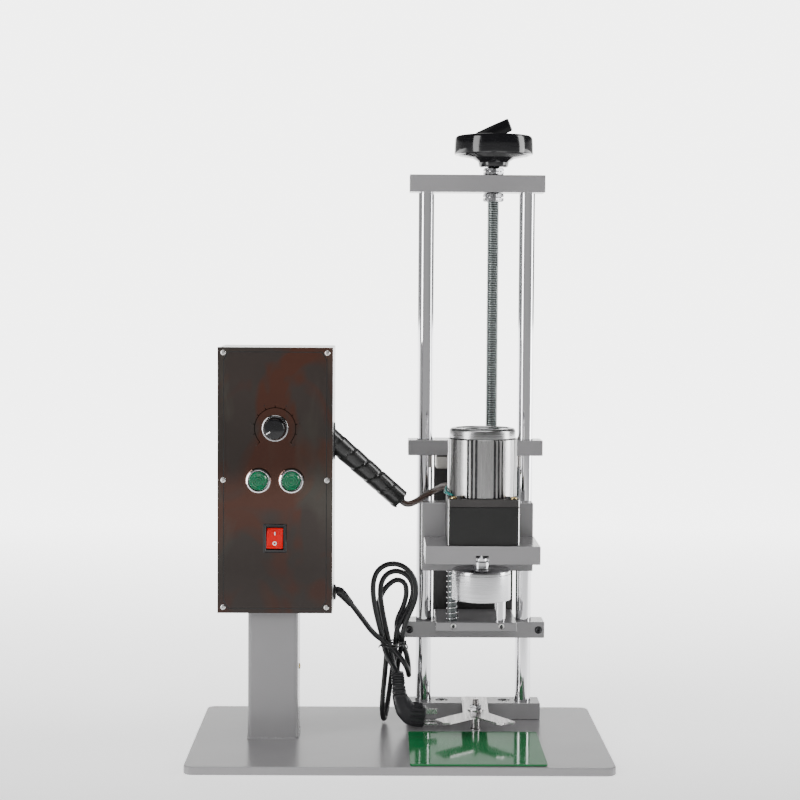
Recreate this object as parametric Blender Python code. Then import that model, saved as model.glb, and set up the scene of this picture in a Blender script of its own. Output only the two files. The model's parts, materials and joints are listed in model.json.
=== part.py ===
"""Bench capping machine: a lift cage on two guide rods, a gear motor that spins a capping head, and a control box.

Metres, +Z up. The origin is the centre of the base plate's underside, +X to the operator's right, +Y to the back.
"""
import math

import bmesh
import bpy
from mathutils import Matrix, Vector

# ---------------------------------------------------------------- driving dimensions
GAP = 0.0003                     # clearance kept between neighbours
FIT = 0.0004                     # radial clearance of turning and sliding parts
SIDES = 24                       # facets of a turned face

BASE_WIDTH = 0.450
BASE_DEPTH = 0.280
BASE_TOP = 0.009
BASE_CORNER = 0.010
MAT_SIZE = (0.143, 0.142, 0.002)
MAT_CENTRE = (0.082, -0.064)

TOWER_X = 0.0865                 # centre of the two guide rods
ROD_Y = 0.0905
ROD_SPACING = 0.1152
ROD_R = 0.009
ROD_TOP = 0.631
BAR_WIDTH = 0.154
BAR_DEPTH = 0.034
FOOT_TOP = 0.0285
FOOT_SCREW_SPAN = 0.036
TOP_BAR = (0.6145, 0.634)        # bottom and top

SCREW_X = 0.1053                 # lead screw axis
SCREW_R = 0.0069
SCREW_BOTTOM = 0.255
SCREW_TOP = 0.669
NUT_FLATS = 0.022
NUT_THICK = 0.0078
WHEEL_BOTTOM = 0.6434
WHEEL_R = 0.045
RIM = (0.6576, 0.679)            # bottom and top of the rim
HANDLE_TILT = math.radians(22)
HANDLE_SIZE = (0.050, 0.017, 0.016)
HANDLE_PIVOT = (-0.0265, 0.6695)  # x from the wheel's axis, z

CAGE_TOP_BAR = (0.3145, 0.332)
CAGE_LOW_BAR = (0.1045, 0.123)
LOW_BAR_WIDTH = 0.162
CLAMP_BAR = (0.0414, 0.1316, 0.2990)   # left, right, bottom
BACK_PLATE = (0.0400, 0.1330, 0.006)   # left, right, thickness
CLAMP_SCREW_SPAN = 0.0742
SUPPORT = (0.0410, 0.1310, 0.0110, 0.1330)  # left, right, front, top
POST_Y = 0.025
SPRING_POST_X = 0.0593
PLAIN_POST_X = 0.1129
SPRING_POST_R = 0.005
PLAIN_POST_R = 0.006
SPRING_R = 0.0068                # outer radius of the coil
POST_TOP = 0.245

BRACKET = ((0.0245, 0.013, 0.191), (0.1482, 0.038, 0.267))
PLATFORM = ((0.0264, -0.072, 0.2105), (0.1494, 0.0127, 0.2300))
PLATFORM_SLOT = (0.014, 0.0096)  # width, height
SPINDLE_X = 0.0885
SPINDLE_Y = -0.030
GEARBOX_HALF = 0.0382
GEARBOX_TOP = 0.2712
GEARBOX_WALL = 0.004
GEARBOX_FLOOR = 0.005
FLANGE_TOP = 0.2800
MOTOR_R = 0.0376
MOTOR_TOP = 0.3430
MOTOR_WALL = 0.0055
RING_R = 0.0358
RING_TOP = 0.3540
SHAFT_R = 0.006
HEAD_R = 0.0320
HEAD_BOTTOM = 0.1670
HEAD_SEAM = 0.1955
HEAD_TOP = 0.2000
HUB_R = 0.0085
HUB_TOP = 0.2085
CUP_R = 0.0215
CUP_DEPTH = 0.021
LINER = 0.003

GEAR_MODULE = 0.0008
GEAR_DISTANCE = 24 * GEAR_MODULE
GEAR_ANGLE = math.radians(45)    # from the spindle axis to the lay shaft
PINION_TEETH, WHEEL_TEETH = 12, 36
LAY_TEETH, OUTPUT_TEETH = 16, 32

LOCATOR_Z = (0.0288, 0.0308)
STUD = (0.0868, 0.030)
STUD_R = 0.004
STUD_TOP = 0.043
SLOT_HALF = 0.016                # half length of the locator's slot

COLUMN_X = -0.1390
COLUMN_Y = 0.0085
COLUMN_SIZE = 0.055
COLUMN_WALL = 0.003
BOX_X = -0.1357
BOX_WIDTH = 0.1242
BOX_FRONT = -0.0397
BOX_BACK = 0.058
BOX_Z = (0.1522, 0.4402)
BOX_WALL = 0.0015
PANEL_FRONT = -0.042
PANEL_BACK = -0.040
KNOB_Z = 0.353
KNOB_R = 0.0145
BUTTON_SPAN = 0.01775
BUTTON_Z = 0.2964
BUTTON_RING_R = 0.0140
BUTTON_LENS_R = 0.01025
BUTTON_STEM_R = 0.0080
BUTTON_BARREL_R = 0.0108
SWITCH_Z = 0.2337
SWITCH_BEZEL = (0.0255, 0.031)
SWITCH_BODY = (0.0222, 0.0275)
ROCKER = (0.0180, 0.0230)

LOOM_R = 0.0115
LOOM_HOLE_Z = 0.336
LOOM_HOLE_R = 0.0188
LOOM_HOLE_Y = 0.006
CORD_R = 0.003
CORD_EXIT = (-0.0708, 0.020, 0.1655)

# ---------------------------------------------------------------- finishes: colour, roughness, metallic
FINISHES = {
    "grey_paint": ((0.28, 0.28, 0.285, 1), 0.35, 0.0),
    "box_paint": ((0.55, 0.55, 0.56, 1), 0.4, 0.0),
    "green_mat": ((0.03, 0.22, 0.09, 1), 0.25, 0.0),
    "chrome": ((0.80, 0.80, 0.82, 1), 0.08, 1.0),
    "zinc_steel": ((0.62, 0.66, 0.64, 1), 0.32, 1.0),
    "dark_steel": ((0.08, 0.08, 0.085, 1), 0.4, 0.8),
    "stainless": ((0.62, 0.61, 0.60, 1), 0.3, 1.0),
    "motor_aluminium": ((0.60, 0.60, 0.60, 1), 0.38, 1.0),
    "head_aluminium": ((0.72, 0.72, 0.73, 1), 0.28, 1.0),
    "gearbox_paint": ((0.035, 0.037, 0.04, 1), 0.45, 0.2),
    "bronze": ((0.55, 0.36, 0.16, 1), 0.35, 1.0),
    "black_plastic": ((0.012, 0.012, 0.013, 1), 0.15, 0.0),
    "black_rubber": ((0.02, 0.02, 0.021, 1), 0.5, 0.0),
    "mirror_panel": ((0.05, 0.045, 0.043, 1), 0.06, 0.9),
    "green_lens": ((0.0, 0.25, 0.12, 1), 0.12, 0.0),
    "red_plastic": ((0.70, 0.01, 0.01, 1), 0.25, 0.0),
    "cream_metal": ((0.62, 0.60, 0.56, 1), 0.4, 0.0),
    "circuit_board": ((0.02, 0.13, 0.05, 1), 0.5, 0.0),
}

# ---------------------------------------------------------------- the joints' axes, as empties
PIVOTS = {
    "frame": ((0, 0, 0), None),
    "handwheel": ((SCREW_X, ROD_Y, RIM[0]), "frame"),
    "handle": ((SCREW_X + HANDLE_PIVOT[0], ROD_Y, HANDLE_PIVOT[1]), "handwheel"),
    "lift_cage": ((TOWER_X, ROD_Y, CAGE_LOW_BAR[0]), "frame"),
    "head_unit": ((SPINDLE_X, SPINDLE_Y, PLATFORM[0][2]), "lift_cage"),
    "spindle": ((SPINDLE_X, SPINDLE_Y, HUB_TOP), "head_unit"),
    "rotor": ((SPINDLE_X, SPINDLE_Y, FLANGE_TOP), "head_unit"),
    "lay_shaft": (
        (
            SPINDLE_X + GEAR_DISTANCE * math.cos(GEAR_ANGLE),
            SPINDLE_Y + GEAR_DISTANCE * math.sin(GEAR_ANGLE),
            GEARBOX_TOP,
        ),
        "head_unit",
    ),
    "knob": ((BOX_X, PANEL_FRONT, KNOB_Z), "frame"),
    "button_left": ((BOX_X - BUTTON_SPAN, PANEL_FRONT, BUTTON_Z), "frame"),
    "button_right": ((BOX_X + BUTTON_SPAN, PANEL_FRONT, BUTTON_Z), "frame"),
    "rocker": ((BOX_X, PANEL_FRONT + 0.001, SWITCH_Z), "frame"),
    "locator": ((STUD[0], STUD[1], LOCATOR_Z[0]), "frame"),
}
UP = (0, 0, 1)
BACKWARD = (0, 1, 0)
EMPTIES = {}
MATERIALS = {}


# ---------------------------------------------------------------- helpers
def clear_scene():
    for thing in list(bpy.data.objects):
        bpy.data.objects.remove(thing, do_unlink=True)


def make_materials():
    for name, (colour, roughness, metallic) in FINISHES.items():
        material = bpy.data.materials.new(name)
        material.use_nodes = True
        shader = material.node_tree.nodes["Principled BSDF"]
        shader.inputs["Base Color"].default_value = colour
        shader.inputs["Roughness"].default_value = roughness
        shader.inputs["Metallic"].default_value = metallic
        material.diffuse_color = colour
        MATERIALS[name] = material


def make_pivots():
    for name, (place, parent) in PIVOTS.items():
        empty = bpy.data.objects.new(f"pivot_{name}", None)
        bpy.context.collection.objects.link(empty)
        empty.empty_display_size = 0.02
        above = Vector(PIVOTS[parent][0]) if parent else Vector()
        empty.location = Vector(place) - above
        if parent:
            empty.parent = EMPTIES[parent]
        EMPTIES[name] = empty


def finish(name, mesh, finish_name, body):
    """Make an object of a mesh given in world coordinates, with its origin on its body's pivot."""
    mesh.transform(Matrix.Translation(-Vector(PIVOTS[body][0])))
    mesh.shade_smooth()
    mesh.set_sharp_from_angle(angle=math.radians(35))
    thing = bpy.data.objects.new(name, mesh)
    bpy.context.collection.objects.link(thing)
    thing.parent = EMPTIES[body]
    if finish_name:
        thing.data.materials.append(MATERIALS[finish_name])
    else:
        thing.hide_render = True
        thing.display_type = "WIRE"
    return thing


def to_mesh(name, bm):
    bmesh.ops.recalc_face_normals(bm, faces=bm.faces)
    mesh = bpy.data.meshes.new(name)
    bm.to_mesh(mesh)
    bm.free()
    return mesh


def soften(thing, width, segments=1):
    bevel = thing.modifiers.new("soft_edges", "BEVEL")
    bevel.width = width
    bevel.segments = segments
    bevel.limit_method = "ANGLE"
    bevel.angle_limit = math.radians(50)


def combine(thing, tool, operation):
    boolean = thing.modifiers.new(operation.lower(), "BOOLEAN")
    boolean.operation = operation
    boolean.object = tool
    boolean.solver = "EXACT"


def add_box(bm, low, high):
    size = Vector(high) - Vector(low)
    middle = (Vector(high) + Vector(low)) / 2
    bmesh.ops.create_cube(bm, size=1, matrix=Matrix.Translation(middle) @ Matrix.Diagonal((*size, 1)))


def box(name, low, high, finish_name, body="frame", bevel=0.0):
    bm = bmesh.new()
    add_box(bm, low, high)
    thing = finish(name, to_mesh(name, bm), finish_name, body)
    if bevel:
        soften(thing, bevel)
    return thing


def add_prism(bm, outline, low, high, axis=UP, centre=(0, 0, 0)):
    """Extrude a closed outline from low to high along axis; the outline's plane is square to the axis."""
    turn = Vector(UP).rotation_difference(Vector(axis)).to_matrix().to_4x4()
    place = Matrix.Translation(centre) @ turn
    rings = [[bm.verts.new(place @ Vector((x, y, z))) for x, y in outline] for z in (low, high)]
    count = len(outline)
    for i in range(count):
        j = (i + 1) % count
        bm.faces.new((rings[0][i], rings[0][j], rings[1][j], rings[1][i]))
    bm.faces.new(reversed(rings[0]))
    bm.faces.new(rings[1])


def prism(name, outline, low, high, finish_name, body="frame", axis=UP, centre=(0, 0, 0)):
    bm = bmesh.new()
    add_prism(bm, outline, low, high, axis, centre)
    return finish(name, to_mesh(name, bm), finish_name, body)


def add_turned(bm, profile, centre, axis=UP, sides=SIDES, closed=False):
    """Turn a profile of (radius, height) points; a closed one is a ring, an open one starts and ends on the axis."""
    turn = Vector(UP).rotation_difference(Vector(axis)).to_matrix().to_4x4()
    place = Matrix.Translation(centre) @ turn
    rings = []
    for radius, height in profile:
        if radius == 0:
            rings.append([bm.verts.new(place @ Vector((0, 0, height)))])
            continue
        ring = []
        for i in range(sides):
            a = math.tau * i / sides
            ring.append(bm.verts.new(place @ Vector((radius * math.cos(a), radius * math.sin(a), height))))
        rings.append(ring)
    pairs = list(zip(rings, rings[1:]))
    if closed:
        pairs.append((rings[-1], rings[0]))
    for lower, upper in pairs:
        for i in range(sides):
            j = (i + 1) % sides
            corners = [
                lower[i % len(lower)], lower[j % len(lower)], upper[j % len(upper)], upper[i % len(upper)],
            ]
            bm.faces.new(list(dict.fromkeys(corners)))


def turned(name, profile, centre, finish_name, body="frame", axis=UP, sides=SIDES, closed=False):
    bm = bmesh.new()
    add_turned(bm, profile, centre, axis, sides, closed)
    return finish(name, to_mesh(name, bm), finish_name, body)


def rod_profile(radius, low, high, chamfer=0.0):
    if not chamfer:
        return [(0, low), (radius, low), (radius, high), (0, high)]
    inner = radius - chamfer
    return [
        (0, low), (inner, low), (radius, low + chamfer),
        (radius, high - chamfer), (inner, high), (0, high),
    ]


def ring_profile(inner, outer, low, high):
    return [(inner, low), (outer, low), (outer, high), (inner, high)]


def hole_radius(radius, clearance=GAP, sides=SIDES):
    """A faceted hole's corner radius that leaves the clearance all round a shaft."""
    return (radius + clearance) / math.cos(math.pi / sides)


def drill(thing, body, *holes):
    """Cut holes, each (centre, axis, profile or radius, low, high)."""
    bm = bmesh.new()
    for centre, axis, radius, low, high in holes:
        add_turned(bm, rod_profile(radius, low, high), centre, axis)
    cutter = finish(f"{thing.name}_holes", to_mesh(f"{thing.name}_holes", bm), None, body)
    combine(thing, cutter, "DIFFERENCE")


def pocket(thing, body, *blocks):
    bm = bmesh.new()
    for low, high in blocks:
        add_box(bm, low, high)
    cutter = finish(f"{thing.name}_pockets", to_mesh(f"{thing.name}_pockets", bm), None, body)
    combine(thing, cutter, "DIFFERENCE")


def polygon(count, radius, phase=0.0):
    step = math.tau / count
    return [(radius * math.cos(phase + i * step), radius * math.sin(phase + i * step)) for i in range(count)]


def rounded_rectangle(width, depth, radius, steps=5):
    outline = []
    for corner in range(4):
        start = corner * math.pi / 2
        sx = 1 if corner in (0, 3) else -1
        sy = 1 if corner in (0, 1) else -1
        for i in range(steps + 1):
            a = start + i * math.pi / 2 / steps
            outline.append((
                sx * (width / 2 - radius) + radius * math.cos(a),
                sy * (depth / 2 - radius) + radius * math.sin(a),
            ))
    return outline


def shifted(outline, dx, dy):
    return [(x + dx, y + dy) for x, y in outline]


def gear_outline(teeth, phase):
    """A trapezoid-toothed gear with one tooth centred on phase."""
    pitch_r = teeth * GEAR_MODULE / 2
    tip_r = pitch_r + 0.75 * GEAR_MODULE
    root_r = pitch_r - 1.2 * GEAR_MODULE
    step = math.tau / teeth
    outline = []
    for i in range(teeth):
        middle = phase + i * step
        for radius, offset in ((root_r, -0.27), (tip_r, -0.12), (tip_r, 0.12), (root_r, 0.27)):
            a = middle + offset * step
            outline.append((radius * math.cos(a), radius * math.sin(a)))
    return outline


def smooth_path(points, spacing):
    """Points read every `spacing` along a Catmull-Rom curve through the given ones."""
    knots = [Vector(p) for p in points]
    knots = [2 * knots[0] - knots[1], *knots, 2 * knots[-1] - knots[-2]]
    fine = []
    for a, b, c, d in zip(knots, knots[1:], knots[2:], knots[3:]):
        for i in range(24):
            t = i / 24
            fine.append(0.5 * (2 * b + (c - a) * t + (2 * a - 5 * b + 4 * c - d) * t**2
                               + (3 * b - a - 3 * c + d) * t**3))
    fine.append(knots[-2])
    path = [fine[0]]
    for point in fine[1:]:
        if (point - path[-1]).length >= spacing:
            path.append(point)
    path[-1] = fine[-1]
    return path


def tube(name, points, radius, finish_name, body="frame", spacing=0.012, resolution=2):
    curve = bpy.data.curves.new(name, "CURVE")
    curve.dimensions = "3D"
    curve.bevel_depth = radius
    curve.bevel_resolution = resolution
    curve.use_fill_caps = True
    curve.render_resolution_u = 0
    path = smooth_path(points, spacing)
    spline = curve.splines.new("POLY")
    spline.points.add(len(path) - 1)
    offset = Vector(PIVOTS[body][0])
    for target, point in zip(spline.points, path):
        target.co = (*(point - offset), 1)
    thing = bpy.data.objects.new(name, curve)
    bpy.context.collection.objects.link(thing)
    thing.parent = EMPTIES[body]
    curve.materials.append(MATERIALS[finish_name])
    return thing


# ---------------------------------------------------------------- frame
def rod_places():
    return [(TOWER_X + side * ROD_SPACING / 2, ROD_Y, 0) for side in (-1, 1)]


def bar(name, width, low, high, body, finish_name="grey_paint"):
    return box(
        name,
        (TOWER_X - width / 2, ROD_Y - BAR_DEPTH / 2, low),
        (TOWER_X + width / 2, ROD_Y + BAR_DEPTH / 2, high),
        finish_name, body, bevel=0.0006,
    )


def rod_holes(low, high):
    return [(place, UP, hole_radius(ROD_R), low, high) for place in rod_places()]


def base():
    outline = rounded_rectangle(BASE_WIDTH, BASE_DEPTH, BASE_CORNER)
    plate = prism("base_plate", outline, 0, BASE_TOP, "grey_paint")
    soften(plate, 0.0008)
    screw_holes = [
        ((TOWER_X + side * FOOT_SCREW_SPAN, ROD_Y, 0), UP, 0.0044, -0.001, BASE_TOP + 0.001)
        for side in (-1, 1)
    ]
    drill(plate, "frame", *screw_holes)
    outline = shifted(rounded_rectangle(MAT_SIZE[0], MAT_SIZE[1], 0.003, 3), *MAT_CENTRE)
    prism("work_mat", outline, BASE_TOP + GAP, BASE_TOP + GAP + MAT_SIZE[2], "green_mat")


def foot():
    block = bar("foot_block", BAR_WIDTH, BASE_TOP + GAP, FOOT_TOP, "frame")
    places = [(TOWER_X + side * FOOT_SCREW_SPAN, ROD_Y, 0) for side in (-1, 1)]
    drill(block, "frame", *rod_holes(0, FOOT_TOP + 0.01))
    drill(block, "frame", *[(place, UP, 0.0044, 0, FOOT_TOP + 0.01) for place in places])
    drill(block, "frame", *[(place, UP, 0.0072, FOOT_TOP - 0.0087, FOOT_TOP + 0.01) for place in places])
    for side, label in ((-1, "left"), (1, "right")):
        socket_screw(f"foot_screw_{label}", (TOWER_X + side * FOOT_SCREW_SPAN, ROD_Y, FOOT_TOP - 0.0004),
                     (0, 0, -1), 0.0065, 0.008, 0.004, 0.0255)


def socket_screw(name, head_face, direction, head_r, head_length, shank_r, length, body="frame"):
    """A socket-head cap screw: head_face is the centre of its outer face, direction runs down the shank."""
    profile = [
        (0, 0.004), (head_r * 0.42, 0.004), (head_r * 0.42, 0), (head_r * 0.92, 0), (head_r, head_r * 0.08),
        (head_r, head_length), (shank_r, head_length), (shank_r, length), (0, length),
    ]
    return turned(name, profile, head_face, "dark_steel", body, axis=direction, sides=18)


def guide_rods():
    for (x, y, _), label in zip(rod_places(), ("left", "right")):
        turned(f"guide_rod_{label}", rod_profile(ROD_R, BASE_TOP + GAP, ROD_TOP, 0.001), (x, y, 0), "chrome")


def top_bar():
    block = bar("top_bar", BAR_WIDTH, *TOP_BAR, "frame")
    screw_hole = ((SCREW_X, ROD_Y, 0), UP, hole_radius(SCREW_R, FIT), 0.6, 0.7)
    drill(block, "frame", *rod_holes(0.6, ROD_TOP + GAP), screw_hole)


# ---------------------------------------------------------------- lead screw, handwheel
def lead_screw():
    profile = rod_profile(SCREW_R, SCREW_BOTTOM, SCREW_TOP, 0.0012)
    turned("lead_screw", profile, (SCREW_X, ROD_Y, 0), "zinc_steel", "handwheel")
    flats = polygon(6, NUT_FLATS / 2 / math.cos(math.pi / 6), math.radians(10))
    spans = {
        "upper_lock_nut": TOP_BAR[1] + 0.0006,
        "lower_lock_nut": TOP_BAR[0] - 0.0006 - NUT_THICK - 0.0018,
    }
    for name, low in spans.items():
        high = low + NUT_THICK + (0.0018 if name.startswith("lower") else 0)
        nut = prism(name, flats, low, high, "dark_steel", "handwheel", centre=(SCREW_X, ROD_Y, 0))
        drill(nut, "handwheel", ((SCREW_X, ROD_Y, 0), UP, hole_radius(SCREW_R), low - 0.01, high + 0.01))


def handwheel():
    inner = hole_radius(SCREW_R)
    low, high = RIM
    profile = [
        (inner, WHEEL_BOTTOM), (0.0168, WHEEL_BOTTOM), (0.0176, low - 0.0085), (0.0235, low - 0.0035),
        (0.0320, low + 0.0010), (0.0370, low + 0.0015), (0.0385, low), (WHEEL_R - 0.001, low),
        (WHEEL_R, low + 0.001), (WHEEL_R - 0.0008, high - 0.0025), (WHEEL_R - 0.0035, high - 0.0002),
        (0.0385, high), (0.0365, high - 0.002), (0.0345, low + 0.0065), (0.0160, low + 0.0045), (inner, low + 0.0045),
    ]
    turned("handwheel", profile, (SCREW_X, ROD_Y, 0), "black_plastic", "handwheel", sides=36, closed=True)


def fold_handle():
    """A bar with a rounded root that turns on a pin across the wheel."""
    length, width, thick = HANDLE_SIZE
    root_r = 0.0050
    outline = [(root_r * math.cos(a), root_r * math.sin(a))
               for a in (math.radians(90 + i * 22.5) for i in range(9))]
    outline += [(0.014, -root_r), (length - 0.001, -0.0035), (length, -0.0025), (length, thick - 0.0055),
                (length - 0.001, thick - 0.0045), (0.012, thick - 0.0090)]
    centre = PIVOTS["handle"][0]
    bm = bmesh.new()
    add_prism(bm, outline, -width / 2, width / 2)
    mesh = to_mesh("fold_handle", bm)
    stand = Matrix.Rotation(math.radians(90), 4, "X")
    tilt = Matrix.Rotation(-HANDLE_TILT, 4, "Y")
    mesh.transform(Matrix.Translation(centre) @ tilt @ stand)
    handle = finish("fold_handle", mesh, "black_plastic", "handle")
    soften(handle, 0.0008)


# ---------------------------------------------------------------- lift cage
def lift_cage():
    crossbar = bar("upper_crossbar", BAR_WIDTH, *CAGE_TOP_BAR, "lift_cage")
    nut_r = 0.011
    middle = (SCREW_X, ROD_Y, 0)
    drill(crossbar, "lift_cage", *rod_holes(0.3, 0.35), (middle, UP, hole_radius(nut_r), 0.3, 0.35))
    nut_profile = ring_profile(hole_radius(SCREW_R, FIT), nut_r, CAGE_TOP_BAR[0] + 0.0005, CAGE_TOP_BAR[1] - 0.0005)
    turned("lead_nut", nut_profile, middle, "bronze", "lift_cage", closed=True)

    front = ROD_Y - BAR_DEPTH / 2
    back = ROD_Y + BAR_DEPTH / 2
    left, right, bottom = CLAMP_BAR
    # its right end is let in around the lead screw
    clamp = box("clamp_bar", (left, front + 0.001, bottom), (right, back - 0.004, CAGE_TOP_BAR[0] - GAP),
                "cream_metal", "lift_cage", bevel=0.0015)
    drill(clamp, "lift_cage", (middle, UP, SCREW_R + 0.0025, 0.28, 0.33))

    lower = bar("lower_crossbar", LOW_BAR_WIDTH, *CAGE_LOW_BAR, "lift_cage")
    level = sum(CAGE_LOW_BAR) / 2
    places = [(TOWER_X + side * CLAMP_SCREW_SPAN, front, level) for side in (-1, 1)]
    drill(lower, "lift_cage", *rod_holes(0.09, 0.14))
    drill(lower, "lift_cage", *[(place, BACKWARD, 0.0033, -0.001, BAR_DEPTH - 0.008) for place in places])
    drill(lower, "lift_cage", *[(place, BACKWARD, 0.0044, -0.001, 0.0065) for place in places])
    for side, label in ((-1, "left"), (1, "right")):
        place = (TOWER_X + side * CLAMP_SCREW_SPAN, front + 0.0004, level)
        profile = [
            (0, 0.003), (0.0018, 0.003), (0.0018, 0), (0.0038, 0), (0.0041, 0.0004), (0.0041, 0.0056),
            (0.0030, 0.0056), (0.0030, 0.025), (0, 0.025),
        ]
        turned(f"clamp_screw_{label}", profile, place, "dark_steel", "lift_cage", axis=BACKWARD, sides=16)

    left, right, thick = BACK_PLATE
    box("back_plate", (left, back + GAP, CAGE_LOW_BAR[0]), (right, back + GAP + thick, CAGE_TOP_BAR[1]),
        "grey_paint", "lift_cage", bevel=0.0006)


def support():
    left, right, front, top = SUPPORT
    plate = box("support_plate", (left, front, CAGE_LOW_BAR[1] + GAP), (right, ROD_Y + 0.010, top),
                "grey_paint", "lift_cage", bevel=0.0006)
    bottom = CAGE_LOW_BAR[1] + GAP + 0.001
    drill(plate, "lift_cage",
          ((SPRING_POST_X, POST_Y, 0), UP, hole_radius(SPRING_POST_R), bottom, top + 0.01),
          ((PLAIN_POST_X, POST_Y, 0), UP, hole_radius(PLAIN_POST_R), bottom, top + 0.01))
    for name, x, radius in (("spring_post", SPRING_POST_X, SPRING_POST_R), ("plain_post", PLAIN_POST_X, PLAIN_POST_R)):
        turned(name, rod_profile(radius, bottom + GAP, POST_TOP, 0.0008), (x, POST_Y, 0), "chrome", "lift_cage")
    spring = ring_profile(hole_radius(SPRING_POST_R), SPRING_R, top + GAP, BRACKET[0][2] - GAP)
    turned("float_spring", spring, (SPRING_POST_X, POST_Y, 0), "zinc_steel", "lift_cage", closed=True)


# ---------------------------------------------------------------- head unit
def head_carrier():
    block = box("bracket_block", *BRACKET, "grey_paint", "head_unit", bevel=0.0006)
    bore_top = POST_TOP + 0.003
    drill(block, "head_unit",
          ((SPRING_POST_X, POST_Y, 0), UP, hole_radius(SPRING_POST_R), 0.18, bore_top),
          ((PLAIN_POST_X, POST_Y, 0), UP, hole_radius(PLAIN_POST_R), 0.18, bore_top))
    platform = box("motor_platform", *PLATFORM, "grey_paint", "head_unit", bevel=0.0006)
    low = PLATFORM[0]
    width, height = PLATFORM_SLOT
    pocket(platform, "head_unit", (
        (SPINDLE_X - 0.0012 - width / 2, low[1] - 0.001, low[2] - 0.001),
        (SPINDLE_X - 0.0012 + width / 2, SPINDLE_Y, low[2] + height),
    ))
    drill(platform, "head_unit", ((SPINDLE_X, SPINDLE_Y, 0), UP, 0.0110, 0.20, 0.24))


def motor():
    low = PLATFORM[1][2] + GAP
    half = GEARBOX_HALF
    case = box("gearbox", (SPINDLE_X - half, SPINDLE_Y - half, low), (SPINDLE_X + half, SPINDLE_Y + half, GEARBOX_TOP),
               "gearbox_paint", "head_unit", bevel=0.0016)
    inner = half - GEARBOX_WALL
    pocket(case, "head_unit", (
        (SPINDLE_X - inner, SPINDLE_Y - inner, low + GEARBOX_FLOOR),
        (SPINDLE_X + inner, SPINDLE_Y + inner, GEARBOX_TOP + 0.01),
    ))
    lay = PIVOTS["lay_shaft"][0]
    drill(case, "head_unit",
          ((SPINDLE_X, SPINDLE_Y, 0), UP, hole_radius(SHAFT_R, FIT), low - 0.01, low + 0.01),
          ((lay[0], lay[1], 0), UP, hole_radius(0.003, FIT), low + 0.001, low + 0.01))

    flange = box("motor_flange", (SPINDLE_X - half, SPINDLE_Y - half, GEARBOX_TOP + GAP),
                 (SPINDLE_X + half, SPINDLE_Y + half, FLANGE_TOP), "gearbox_paint", "head_unit", bevel=0.0012)
    drill(flange, "head_unit", ((SPINDLE_X, SPINDLE_Y, 0), UP, hole_radius(0.004, FIT), 0.26, 0.29))

    inner_r = MOTOR_R - MOTOR_WALL
    casing = [
        (inner_r, FLANGE_TOP + GAP), (MOTOR_R, FLANGE_TOP + GAP), (MOTOR_R, MOTOR_TOP), (0, MOTOR_TOP),
        (0, MOTOR_TOP - 0.004), (inner_r, MOTOR_TOP - 0.004),
    ]
    bm = bmesh.new()
    add_turned(bm, [(0, casing[4][1]), casing[5], *casing[:4]], (SPINDLE_X, SPINDLE_Y, 0), sides=32)
    finish("motor_body", to_mesh("motor_body", bm), "motor_aluminium", "head_unit")
    ring = [
        (0.019, MOTOR_TOP + GAP), (RING_R, MOTOR_TOP + GAP), (RING_R, RING_TOP - 0.003),
        (RING_R - 0.003, RING_TOP), (0.019, RING_TOP - 0.0015),
    ]
    turned("motor_end_ring", ring, (SPINDLE_X, SPINDLE_Y, 0), "motor_aluminium", "head_unit", sides=32, closed=True)


def gear_train():
    pinion_z = (0.2570, 0.2690)
    wheel_z = (0.2590, 0.2660)
    lay_z = (0.2460, 0.2595)
    output_z = (0.2465, 0.2555)
    spindle_axis = (SPINDLE_X, SPINDLE_Y, 0)
    lay_axis = (*PIVOTS["lay_shaft"][0][:2], 0)
    toward = GEAR_ANGLE
    back = GEAR_ANGLE + math.pi

    armature_r = MOTOR_R - MOTOR_WALL - 0.0015
    rotor = turned("motor_rotor", [
        (0, 0.2685), (0.004, 0.2685), (0.004, 0.2840), (armature_r, 0.2850), (armature_r, 0.3340),
        (0.004, 0.3350), (0.004, 0.3380), (0, 0.3380),
    ], spindle_axis, "dark_steel", "rotor")
    pinion = prism("rotor_pinion", gear_outline(PINION_TEETH, toward), *pinion_z, None, "rotor", centre=spindle_axis)
    combine(rotor, pinion, "UNION")

    wheel = prism("reduction_gear", gear_outline(WHEEL_TEETH, back + math.pi / WHEEL_TEETH), *wheel_z,
                  "dark_steel", "lay_shaft", centre=lay_axis)
    small = prism("lay_pinion", gear_outline(LAY_TEETH, back), *lay_z, None, "lay_shaft", centre=lay_axis)
    stub = turned("lay_stub", rod_profile(0.003, 0.2320, 0.2690), lay_axis, None, "lay_shaft", sides=20)
    combine(wheel, small, "UNION")
    combine(wheel, stub, "UNION")

    output = prism("output_gear", gear_outline(OUTPUT_TEETH, toward + math.pi / OUTPUT_TEETH), *output_z,
                   "dark_steel", "spindle", centre=spindle_axis)
    drill(output, "spindle", (spindle_axis, UP, hole_radius(SHAFT_R), 0.24, 0.26))


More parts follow.
